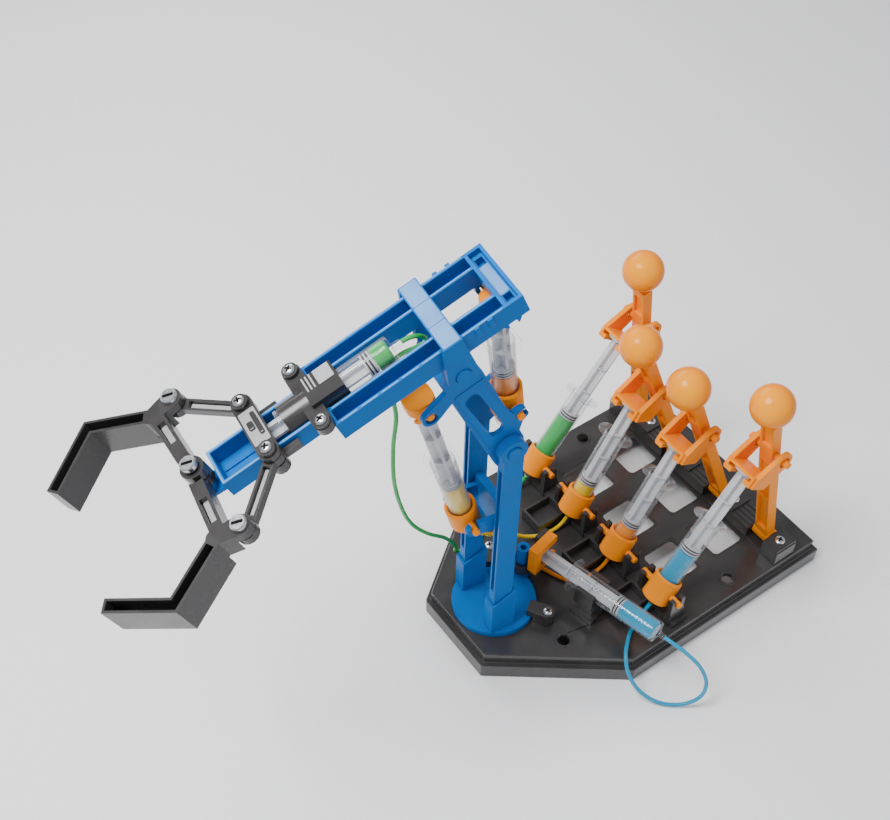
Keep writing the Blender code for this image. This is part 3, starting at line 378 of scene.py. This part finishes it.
def rounded(x, y, radius):
    """A rectangle between two pairs of limits, with round corners."""
    corners = ((x[1] - radius, y[0] + radius, -90), (x[1] - radius, y[1] - radius, 0),
               (x[0] + radius, y[1] - radius, 90), (x[0] + radius, y[0] + radius, 180))
    return [p for a, b, start in corners for p in arc((a, b), radius, start, start + 90, 5)]


def joined(*shapes):
    """Several bmeshes as one, each moved by its own matrix in millimetres."""
    whole = bmesh.new()
    for bm, place in shapes:
        bm.transform(place)
        mesh = bpy.data.meshes.new("part")
        bm.to_mesh(mesh)
        bm.free()
        whole.from_mesh(mesh)
        bpy.data.meshes.remove(mesh)
    return whole


def mesh_of(name, bm, look):
    mesh = bpy.data.meshes.new(name)
    bm.to_mesh(mesh)
    bm.free()
    mesh.transform(Matrix.Scale(MM, 4))
    mesh.materials.append(LOOKS[look])
    mesh.shade_smooth()
    mesh.set_sharp_from_angle(angle=EDGE_ANGLE)
    return mesh


def put(name, bm, look, body, place=IDENTITY, stands_for=(), across=None):
    """One visible piece, placed and riding on its body, or, when across is given, left fixed where it is
    placed.
    across is (the other body, start, end), both points in metres."""
    made = bpy.data.objects.new(name, mesh_of(name, bm, look))
    made.matrix_world = place
    bpy.context.scene.collection.objects.link(made)
    if across:
        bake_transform(made)
    else:
        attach(made, body)
    if stands_for:
        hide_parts(*stands_for)


# --- hoses ----------------------------------------------------------------------------------------------
def smooth(route):
    """Points on one smooth curve through a route's own points."""
    run = [route[0] * 2 - route[1], *route, route[-1] * 2 - route[-2]]
    made = []
    for i in range(1, len(run) - 2):
        a, b, c, d = run[i - 1:i + 3]
        for k in range(CURVE_STEPS):
            t = k / CURVE_STEPS
            made.append(0.5 * (2 * b + (c - a) * t + (2 * a - 5 * b + 4 * c - d) * t * t
                               + (3 * b - a - 3 * c + d) * t ** 3))
    return made + [route[-1]]


def tube(points, radius, sides=14):
    """A closed tube along points."""
    bm = bmesh.new()
    side = (points[1] - points[0]).orthogonal().normalized()
    rings = []
    for i, point in enumerate(points):
        ahead = points[min(i + 1, len(points) - 1)] - points[max(i - 1, 0)]
        side = (side - ahead * side.dot(ahead) / ahead.length_squared).normalized()
        other = ahead.normalized().cross(side)
        turns = [math.tau * k / sides for k in range(sides)]
        rings.append([bm.verts.new(point + (side * math.cos(t) + other * math.sin(t)) * radius)
                      for t in turns])
    for one, two in zip(rings, rings[1:]):
        for k in range(sides):
            bm.faces.new((one[k], one[(k + 1) % sides], two[(k + 1) % sides], two[k]))
    bm.faces.new(rings[0][::-1])
    bm.faces.new(rings[-1])
    bmesh.ops.recalc_face_normals(bm, faces=bm.faces)
    return bm


def hose(colour, route, stretches):
    """A hose as stretches that meet end to end, each riding on one body, or fixed where it is made when it
    runs between two.
    stretches lists (last route point's index, body before, body after)."""
    points = smooth(route)
    start = 0
    for number, (stop, before, after) in enumerate(stretches, 1):
        end = len(points) - 1 if stop is None else stop * CURVE_STEPS
        run = points[start:end + 1]
        name = f"hose_{colour}_{number}"
        made = bpy.data.objects.new(name, mesh_of(name, tube(run, HOSE_D / 2), f"hose_{colour}"))
        bpy.context.scene.collection.objects.link(made)
        if before == after:
            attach(made, before)
        else:
            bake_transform(made)
        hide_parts(f"hose_{colour}")
        start = end


def nozzle(place, node, further=0.0):
    """A point on a barrel's axis, out from the tip of its nozzle."""
    tip = reach(node, place)[0]
    return place @ Vector((0, 0, (tip - 0.3 - further) * MM)) / MM


def in_frame(place, *points):
    """Points given in millimetres in a frame, as points in the row frame."""
    return [place @ (Vector(p) * MM) / MM for p in points]


MASTER = {n: on_joint(f"master_tilt_{n}", f"master_slide_{n}") for n in (1, 2, 3, 4)}
SLEW = on_joint("slew_swing", "slew_slide")
SHOULDER = on_joint("shoulder_tilt", "shoulder_slide")
ELBOW = on_joint("elbow_tilt", "elbow_slide")
GRIP = BOOM @ move(22.0, 0, -2.0) @ turn(90, "Y")


def hoses():
    """The four routes, near the CAD's; orange and yellow stand a little clearer of what moves."""
    tips = {n: nozzle(MASTER[n], f"master_barrel_{n}") for n in MASTER}
    green = [tips[1], *in_frame(
        IDENTITY, (-14.1, 60, 25.2), (-18.2, 60, 21.9), (-23.5, 59, 20.7), (-31.5, 56.4, 20.7),
        (-42, 52.4, 20.8), (-53, 47, 20.8), (-64, 41, 21), (-75.5, 38.5, 23.5), (-84.5, 36.8, 30.5))]
    green += in_frame(
        ARM, (9.5, -32.5, 43), (18.5, -29.5, 60), (32, -25, 78), (44, -22, 98), (52, -19, 122),
        (57, -17, 150), (57, -17, 178), (55, -17, 200), (57, -18, 217), (59.5, -17.5, 232))
    green += in_frame(
        BOOM, (26.5, -14.5, -29), (19.6, -11, -23.3), (13.2, -7.6, -21), (9.3, -4.6, -18.2),
        (7.3, -2.2, -14.2), (7.3, -0.6, -9.7), (9.3, 0, -5.7), (12.9, 0, -3), (17.2, 0, -2))
    hose("green", green, [(6, "master_1", "base"), (13, "base", "tower"), (17, "tower", "lower_arm"),
                          (None, "lower_arm", "boom")])
    yellow = [tips[2], *in_frame(
        IDENTITY, (-12.8, 20, 23.8), (-17.4, 20, 21.6), (-23, 20.4, 21.0), (-31, 22, 21.1),
        (-39.5, 24.4, 24.2), (-47.5, 25.8, 30.5), (-56, 25, 40), (-66.5, 20.5, 53), (-78, 13, 69),
        (-89, 5.5, 87))]
    yellow += [nozzle(SHOULDER, "shoulder_barrel", further) for further in (9.0, 0.0)]
    hose("yellow", yellow, [(5, "master_2", "base"), (9, "base", "tower"),
                            (None, "tower", "shoulder_barrel")])
    orange = [tips[3], *in_frame(
        IDENTITY, (-12.8, -20, 23.8), (-17.4, -20, 21.6), (-23, -20, 21.0), (-30.8, -19, 20.7),
        (-37.3, -14.2, 20.7), (-41.4, -6.6, 20.9), (-45, 2.4, 21.2), (-49.5, 11, 22.6),
        (-54.6, 17.3, 29.4), (-60.5, 18, 41), (-66.5, 14, 58), (-71, 8.5, 80), (-74.5, 4, 110),
        (-77, 1, 145))]
    orange += [nozzle(ELBOW, "elbow_barrel", further) for further in (14.0, 0.0)]
    hose("orange", orange, [(6, "master_3", "base"), (9, "base", "tower"), (12, "tower", "tower"),
                            (14, "tower", "lower_arm"), (None, "lower_arm", "elbow_barrel")])
    blue = [nozzle(SLEW, "slew_barrel", further) for further in (0.0, 5.0)]
    blue += in_frame(
        IDENTITY, (-22.6, -101.5, 38.8), (-18.2, -110.5, 31.5), (-16.8, -117, 21), (-20.5, -118.3, 10.5),
        (-28.5, -113.6, 3.2), (-38.5, -105, 2.4), (-46, -95, 8.5), (-48.5, -85.8, 18),
        (-44.5, -77.4, 23.9), (-37, -70.5, 24.4), (-29.3, -65, 22), (-22.6, -61.7, 20.8), (-17.2, -60.2, 22))
    blue.append(tips[4])
    hose("blue", blue, [(7, "slew_barrel", "base"), (None, "base", "master_4")])


# --- syringes -------------------------------------------------------------------------------------------
def barrel(name, place, body, rod, colour, round_flange=False):
    """Clear barrel, finger flange and water from the closed end to the piston, which is on the body rod."""
    low, top = reach(name, place)
    floor = low + NOZZLE_LENGTH
    inside = floor + BARREL_FLOOR
    front = reach(name.replace("barrel", "plunger"), place)[0]
    b, n = BARREL_R, NOZZLE_R
    shell = lathe([(NOZZLE_BORE, low), (n * 0.82, low), (n * 0.9, low + 0.5), (n, floor - 0.3),
                   (n + 0.5, floor), (b - 1.2, floor + 0.05), (b - 0.3, floor + 0.5), (b, floor + 1.4),
                   (b, top - 0.5), (b - 0.1, top), (BORE_R + 0.1, top), (BORE_R, top - 0.4),
                   (BORE_R, inside + 1), (BORE_R - 1.2, inside), (NOZZLE_BORE, inside), (NOZZLE_BORE, low)])
    put(f"{name}_shell", shell, "clear", body, place, [name])
    if round_flange:
        outline = circle(7.2)
    else:
        outline = arc((0, 3.0), 8.9, 20, 160, 20) + arc((0, -3.0), 8.9, 200, 340, 20)
    flange = plate([outline, circle(b + 0.02)], top - FLANGE_H, top - 0.2, 0.3)
    put(f"{name}_flange", flange, "clear", body, place)
    start = inside + 0.15
    water = lathe([(0, start - 0.05), (BORE_R - 1.3, start), (BORE_R - 0.15, start + 1.1),
                   (BORE_R - 0.15, front - 0.15), (0, front - 0.1)])
    ends = [place @ Vector((0, 0, z * MM)) for z in (start, front)]
    put(f"{name}_water", water, f"water_{colour}", body, place, across=(rod, *ends))


def plunger(name, place, body, thumb_r=THUMB_R):
    """Cross-ribbed rod with round webs, a piston with two seals, and a lipped thumb disc."""
    front, back = reach(name, place)
    thumb = back - THUMB_H
    a, t, p = RIB_HALF, RIB_THICK / 2, PISTON_R
    cross = [(a, -t), (a, t), (t, t), (t, a), (-t, a), (-t, t),
             (-a, t), (-a, -t), (-t, -t), (-t, -a), (t, -a), (t, -t)]
    piston = [(0, 0), (p - 0.8, 0), (p, 0.7), (p, 1.2), (p - 0.5, 1.4), (p - 0.5, 2.2), (p, 2.4), (p, 3.0),
              (p - 0.5, 3.2), (p - 0.5, 4.0), (p, 4.2), (p, PISTON_H), (0, PISTON_H)]
    shapes = [plate([cross], front + PISTON_H - 0.4, thumb + 0.3, 0.15),
              lathe([(r, front + z) for r, z in piston]),
              lathe([(0, thumb), (thumb_r - 0.4, thumb), (thumb_r, thumb + 0.4), (thumb_r, back - 0.4),
                     (thumb_r - 0.4, back), (thumb_r - 1.3, back - 0.05), (thumb_r - 1.8, back - 0.45),
                     (0, back - 0.45)])]
    for share in (0.3, 0.62):
        web = front + PISTON_H + (thumb - front - PISTON_H) * share
        shapes.append(lathe([(0, web), (a - 0.1, web), (a - 0.1, web + 0.8), (0, web + 0.8)]))
    whole = joined(*((shape, IDENTITY) for shape in shapes))
    put(f"{name}_rod", whole, "plunger", body, place, [name])
    for number, height in enumerate((1.4, 3.2), 1):
        low = front + height
        ring = lathe([(p - 0.52, low), (p - 0.02, low + 0.1), (p - 0.02, low + 0.7), (p - 0.52, low + 0.8)])
        put(f"{name}_seal_{number}", ring, "seal", body, place)


def collar(name, place, body):
    """Chamfered collar with a trunnion pin on each side."""
    r, bore = COLLAR_R, COLLAR_BORE
    ring = lathe([(bore, -7.6), (bore + 0.4, -8.0), (r - 0.7, -8.0), (r, -7.3), (r, 8.2), (r - 0.8, 9.0),
                  (bore + 0.4, 9.0), (bore, 8.6), (bore, -7.6)])
    shapes = [(ring, IDENTITY)]
    for side in (-1, 1):
        pin = lathe([(0, 8.2), (PIN_R, 8.2), (PIN_R, 16.1), (PIN_R - 0.4, 16.5), (0, 16.5)], 24)
        shapes.append((pin, turn(-90 * side, "X")))
    put(f"{name}_ring", joined(*shapes), "orange", body, place, [name])


def syringes():
    """The four hand syringes, their three slaves on the arm and tower, and the one in the boom."""
    for number, colour in enumerate(("green", "yellow", "orange", "blue"), 1):
        place = MASTER[number]
        barrel(f"master_barrel_{number}", place, f"master_{number}", f"master_plunger_{number}", colour)
        plunger(f"master_plunger_{number}", place, f"master_plunger_{number}")
        collar(f"master_collar_{number}", place, f"master_{number}")
    for part, place, colour in (("shoulder", SHOULDER, "yellow"), ("elbow", ELBOW, "orange"),
                                ("slew", SLEW, "blue")):
        barrel(f"{part}_barrel", place, f"{part}_barrel", f"{part}_plunger", colour)
        thumb_r = THUMB_R if part == "slew" else CAP_THUMB_R
        plunger(f"{part}_plunger", place, f"{part}_plunger", thumb_r)
        if part != "slew":
            collar(f"{part}_collar", place, f"{part}_barrel")
    barrel("grip_barrel", GRIP, "boom", "crosshead", "green", round_flange=True)
    plunger("grip_plunger", GRIP, "crosshead", GRIP_THUMB_R)


# --- balls, screws and small mouldings ------------------------------------------------------------------
def balls():
    """A ball with a short neck on each lever."""
    for number in (1, 2, 3, 4):
        pivot = Vector(joints[f"lever_{number}"]["pos_m"])
        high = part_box(f"lever_ball_{number}")[1]
        out = (high - Vector((BALL_R, BALL_R, BALL_R)) * MM - pivot).normalized()
        across = Vector((0, 1, 0))
        place = columns(pivot, across.cross(out), across, out)
        neck = -math.degrees(math.acos(BALL_NECK / BALL_R))
        ball = [(r, LEVER_BALL + z) for r, z in arc((0, 0), BALL_R, neck, 90, 40)]
        shape = lathe([(BALL_NECK, LEVER_BALL - 7.0), *ball[:-1], (0, LEVER_BALL + BALL_R)], 64)
        put(f"ball_{number}", shape, "ball", f"lever_{number}", place, [f"lever_ball_{number}"])


def screw_mesh(radius, height, cross=True):
    """A domed screw head with a cross recess, or a flat one with a slot, and the floor of the recess."""
    if cross:
        head = lathe([(0, -0.4), (radius, -0.4), (radius, height * 0.35), (radius * 0.8, height * 0.8),
                      (radius * 0.45, height), (0, height)], 32)
    else:
        head = lathe([(0, -0.4), (radius, -0.4), (radius, height - 0.5), (radius - 0.5, height),
                      (0, height)], 40)
    body = bpy.data.objects.new("head", mesh_of("screw", head, "screw"))
    bpy.context.scene.collection.objects.link(body)
    long, narrow = (radius * 0.62, radius * 0.17) if cross else (radius * 0.7, radius * 0.2)
    arms = [rounded((-long, long), (-narrow, narrow), narrow * 0.4)]
    if cross:
        arms.append(rounded((-narrow, narrow), (-long, long), narrow * 0.4))
    for outline in arms:
        shape = plate([outline], height - 0.9, height + 1)
        cutter = bpy.data.objects.new("cutter", mesh_of("cutter", shape, "pit"))
        bpy.context.scene.collection.objects.link(cutter)
        cut = body.modifiers.new("recess", "BOOLEAN")
        cut.operation = "DIFFERENCE"
        cut.object = cutter
        bpy.context.view_layer.update()
        done = bpy.data.meshes.new_from_object(body.evaluated_get(bpy.context.evaluated_depsgraph_get()))
        body.modifiers.clear()
        body.data = done
        bpy.data.objects.remove(cutter)
    mesh = body.data
    mesh.shade_smooth()
    mesh.set_sharp_from_angle(angle=EDGE_ANGLE)
    bpy.data.objects.remove(body)
    bottom = rounded((-long, long), (-narrow * 0.96, narrow * 0.96), narrow * 0.4)
    floor = [(plate([bottom], height - 1.0, height - 0.45), turn(angle, "Z"))
             for angle in ((0, 90) if cross else (0,))]
    return mesh, mesh_of("recess", joined(*floor), "pit")


def screws():
    """Cross-head screws on the base and clamps, and slotted heads on the jaw pins."""
    small, wide = screw_mesh(2.9, 1.6), screw_mesh(3.1, 1.4)
    slotted = screw_mesh(4.0, 2.6, cross=False)
    table = move(TABLE_X, 0, 0)
    spots = [(f"block_{n}", wide, "base", move(83.8, y - 12.6, 31.5)) for n, y in enumerate(LANES, 1)]
    spots += [(f"clip_{n}", small, "base", table @ turn(a, "Z") @ move(CLIP_RADIUS, 0, 29.0))
              for n, a in enumerate(CLIP_TURNS, 1)]
    for n, w in enumerate((-1, 1), 1):
        spots.append((f"clamp_{n}", small, "boom", BOOM @ move(66.4, 17.0 * w, 6.5)))
        place = BOOM @ move(CROSSHEAD[0], CROSSHEAD[1] * w, 10.5)
        spots.append((f"crosshead_{n}", small, "crosshead", place))
    spots.append(("jaw_hub", slotted, "boom", BOOM @ move(JAW_HUB, 0, 12.0)))
    spots.append(("jaw_pin_upper", slotted, "jaw_upper", BOOM @ move(JAW_PIN[0], -JAW_PIN[1], 10.2)))
    spots.append(("jaw_pin_lower", slotted, "jaw_lower", BOOM @ move(JAW_PIN[0], JAW_PIN[1], 10.2)))
    for number, (name, (head, recess), body, place) in enumerate(spots):
        angle = -22.0 if head == slotted[0] else 37.0 * number
        for kind, mesh in (("screw", head), ("recess", recess)):
            made = bpy.data.objects.new(f"{kind}_{name}", mesh)
            made.matrix_world = place @ turn(angle, "Z")
            bpy.context.scene.collection.objects.link(made)
            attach(made, body)


def base_details():
    """Round-cornered lips in the windows, rims round the holes, and grooved strips on the lever block."""
    number = 0
    for row in WINDOW_ROWS:
        for y in WINDOW_Y:
            number += 1
            outer, inner = (rounded((row[0] + inset, row[1] - inset),
                                    (y - WINDOW_HALF + inset, y + WINDOW_HALF - inset), corner)
                            for inset, corner in ((0.05, 0.3), (1.0, 3.0)))
            lip = plate([outer, inner], DECK_TOP - 1.6, DECK_TOP - 0.2, 0.2)
            put(f"window_lip_{number}", lip, "charcoal", "base")
    for number, (x, y) in enumerate(DECK_HOLES, 1):
        ring = lathe([(3.7, DECK_TOP - 1.0), (3.7, DECK_TOP + 0.1), (4.1, DECK_TOP + 0.5),
                      (4.9, DECK_TOP + 0.5), (5.3, DECK_TOP + 0.05)])
        put(f"hole_rim_{number}", ring, "charcoal", "base", move(x, y, 0))
    for lane, y in enumerate(LANES[1:], 1):
        for line in range(4):
            x = 78.0 + line * 3.6
            strip = plate([rounded((x, x + 1.6), (y + 8.0, y + 21.0), 0.4)], 29.4, 30.1, 0.15)
            put(f"strip_{lane}_{line + 1}", strip, "charcoal", "base")
    hub = lathe([(0, TABLE_TOP - 0.2), (2.6, TABLE_TOP - 0.2), (2.6, TABLE_TOP + 0.9), (3.2, TABLE_TOP + 1.4),
                 (5.4, TABLE_TOP + 1.4), (6.0, TABLE_TOP + 0.9), (6.0, TABLE_TOP - 0.2)])
    put("turntable_ring", hub, "blue", "tower", ARM)


def boom_details():
    """Painted highlights as pale plates on the saddle, lines on the rails and round the nose, strips on the
    nose floor and the tray, and a grey plate on the clamp; clips on the sides, a rib in the nose and grey
    lines on the clamp.
    """
    def flat(name, u, w, low, high, look="blue_highlight", body="boom", radius=0.3, place=BOOM):
        put(name, plate([rounded(u, w, radius)], low, high, 0.08), look, body, place)

    # painted highlight: pale plates on the saddle tops where they catch the light
    for number, w in enumerate(((-21.8, -7.5), (-7.1, 7.1), (7.5, 21.8)), 1):
        flat(f"saddle_highlight_{number}", (-4.4, 4.4), w, 2.9, 3.3, radius=0.5)
    # painted highlights: pale lines along the rail edges, and dashes along the near outer rail
    for number, (low, high) in enumerate(((-19.3, -18.6), (-10.5, -9.8), (9.8, 10.5)), 1):
        flat(f"rail_highlight_{number}", (-27.5, 60.0), (low, high), -0.1, 0.2, radius=0.2)
    for number in range(5):
        u = 6.5 + number * 11.0
        flat(f"rail_highlight_dash_{number + 1}", (u, u + 9.0), (18.6, 19.3), -0.1, 0.2, radius=0.2)
    flat("rail_highlight_dash_6", (-27.5, -6.0), (18.6, 19.3), -0.1, 0.2, radius=0.2)
    # painted highlights: a pale line round the nose rim and a pale strip on the nose floor
    nose = [rounded((62.0, 119.2), (-10.2, 10.2), 0.4), rounded((62.7, 118.3), (-9.3, 9.3), 0.3)]
    put("nose_rim_highlight", plate(nose, -0.1, 0.2, 0.08), "blue_highlight", "boom", BOOM)
    flat("nose_floor_highlight", (97.0, 116.8), (2.0, 7.8), -9.7, -9.3)
    flat("nose_rib", (80.0, 117.2), (-2.4, -1.9), -9.7, -8.6, "blue", radius=0.2)
    # painted highlight: a pale plate on the tray floor between its holes
    flat("tray_highlight", (-36.0, -30.9), (-10.0, 10.0), -3.6, -3.2)
    for label, side in (("far", -1), ("near", 1)):
        place = BOOM @ move(0, side * 20.0, 0)
        for number, u in enumerate((-21.5, -14.5), 1):
            flat(f"clip_{label}_{number}", (u, u + 2.6), (-0.7, 0.7), -6.0, 0.4, "blue", place=place)
    # painted highlight: a light grey plate on the far half of the clamp's top
    flat("clamp_highlight", (50.2, 58.4), (-8.0, 0.6), 6.9, 7.25, "grey")
    for number, u in enumerate((60.0, 61.9, 63.8), 1):
        flat(f"clamp_line_{number}", (u, u + 0.8), (-7.9, 0.6), 6.9, 7.25, "grey", radius=0.2)


def gripper_details():
    """The grey face and two bars of the crosshead, and panels in the links' and jaws' channels."""
    for name, look, u, w, corner, low, high, soften in (
            ("face", "grey", (88.8, 97.2), (-10.4, 10.4), 0.6, 8.1, 8.5, 0.1),
            ("bar", "dark", (89.6, 92.0), (-7.2, 6.4), 0.9, 8.3, 10.0, 0.4),
            ("tab", "dark", (92.6, 95.6), (-3.0, 1.8), 0.7, 8.3, 9.8, 0.4)):
        put(f"crosshead_{name}", plate([rounded(u, w, corner)], low, high, soften), look, "crosshead", BOOM)
    for label, side in (("upper", -1), ("lower", 1)):
        run = Vector((JAW_PIN[0] - CROSSHEAD[0], side * (JAW_PIN[1] - CROSSHEAD[1])))
        heading = math.degrees(math.atan2(run.y, run.x))
        place = BOOM @ move(CROSSHEAD[0], side * CROSSHEAD[1], 0) @ turn(heading, "Z")
        panel = plate([rounded((7.0, run.length - 7.5), (-1.45, 1.45), 0.5)], 2.1, 2.6, 0.1)
        put(f"link_panel_{label}", panel, "grey", f"link_{label}", place)
        place = BOOM @ move(JAW_HUB + 2.2, side * 18.0, 0) @ turn(side * 86.7, "Z")
        panel = plate([rounded((0.0, 14.0), (-1.5, 1.5), 0.6)], 6.4, 6.9, 0.1)
        put(f"jaw_panel_{label}", panel, "grey", f"jaw_{label}", place)


def arm_details():
    """Raised border lines on the near plate of the lower arm."""
    place = ARM @ move(*LOWER_ORIGIN) @ turn(LOWER_LEAN, "Y") @ turn(90, "X")
    lines = (((9.2, 9.8), (-2.0, 60.0)), ((-7.6, -7.0), (29.0, 64.0)), ((-7.0, 9.2), (60.0, 60.6)))
    for number, (x, z) in enumerate(lines, 1):
        put(f"arm_line_{number}", plate([rounded(x, z, 0.25)], -14.5, -14.1, 0.1), "blue", "lower_arm", place)


# --- the CAD pieces that stay ---------------------------------------------------------------------------
def smooth_by_angle():
    """Joins the imported triangles and shades them smooth except across sharp edges."""
    group = bpy.data.node_groups.new("smooth_by_angle", "GeometryNodeTree")
    group.interface.new_socket("Geometry", in_out="INPUT", socket_type="NodeSocketGeometry")
    group.interface.new_socket("Geometry", in_out="OUTPUT", socket_type="NodeSocketGeometry")
    nodes, links = group.nodes, group.links
    start, end = nodes.new("NodeGroupInput"), nodes.new("NodeGroupOutput")
    weld = nodes.new("GeometryNodeMergeByDistance")
    weld.inputs["Distance"].default_value = 0.000005
    angle = nodes.new("GeometryNodeInputMeshEdgeAngle")
    sharp = nodes.new("FunctionNodeCompare")
    sharp.operation = "GREATER_THAN"
    sharp.inputs[1].default_value = math.radians(31)
    faces, edges = nodes.new("GeometryNodeSetShadeSmooth"), nodes.new("GeometryNodeSetShadeSmooth")
    edges.domain = "EDGE"
    edges.inputs["Shade Smooth"].default_value = False
    links.new(start.outputs[0], weld.inputs["Geometry"])
    links.new(weld.outputs["Geometry"], faces.inputs["Geometry"])
    links.new(faces.outputs["Geometry"], edges.inputs["Geometry"])
    links.new(angle.outputs["Unsigned Angle"], sharp.inputs[0])
    links.new(sharp.outputs["Result"], edges.inputs["Selection"])
    links.new(edges.outputs["Geometry"], end.inputs[0])
    return group


def dress(look, width, *names):
    """A material and rounded edges for CAD nodes that stay visible."""
    for name in names:
        node = frame["nodes"][name]
        node.data.materials.clear()
        node.data.materials.append(LOOKS[look])
        node.modifiers.new("smooth", "NODES").node_group = SMOOTH
        edge = node.modifiers.new("edge", "BEVEL")
        edge.width = width * MM
        edge.segments = 2
        edge.limit_method = "ANGLE"
        edge.angle_limit = EDGE_ANGLE
        edge.harden_normals = True


SMOOTH = smooth_by_angle()
camera()
hoses()
studio()
syringes()
balls()
screws()
base_details()
boom_details()
gripper_details()
arm_details()
dress("charcoal", 0.7, "base_tray")
dress("charcoal", 0.4, "lever_block", "trunnion_rail", "retainer_clip_near", "retainer_clip_far",
      "slew_bracket", "slew_clamp", "slew_knuckle")
dress("dark", 0.35, "grip_clamp", "crosshead", "link_upper", "link_lower", "jaw_upper", "jaw_lower")
dress("blue", 0.35, "turntable", "tower_frame", "lower_arm", "boom", "saddle")
dress("orange", 0.35, "shoulder_cap", "elbow_cap", "slew_yoke",
      *(f"lever_{part}_{n}" for part in ("yoke", "post") for n in (1, 2, 3, 4)))
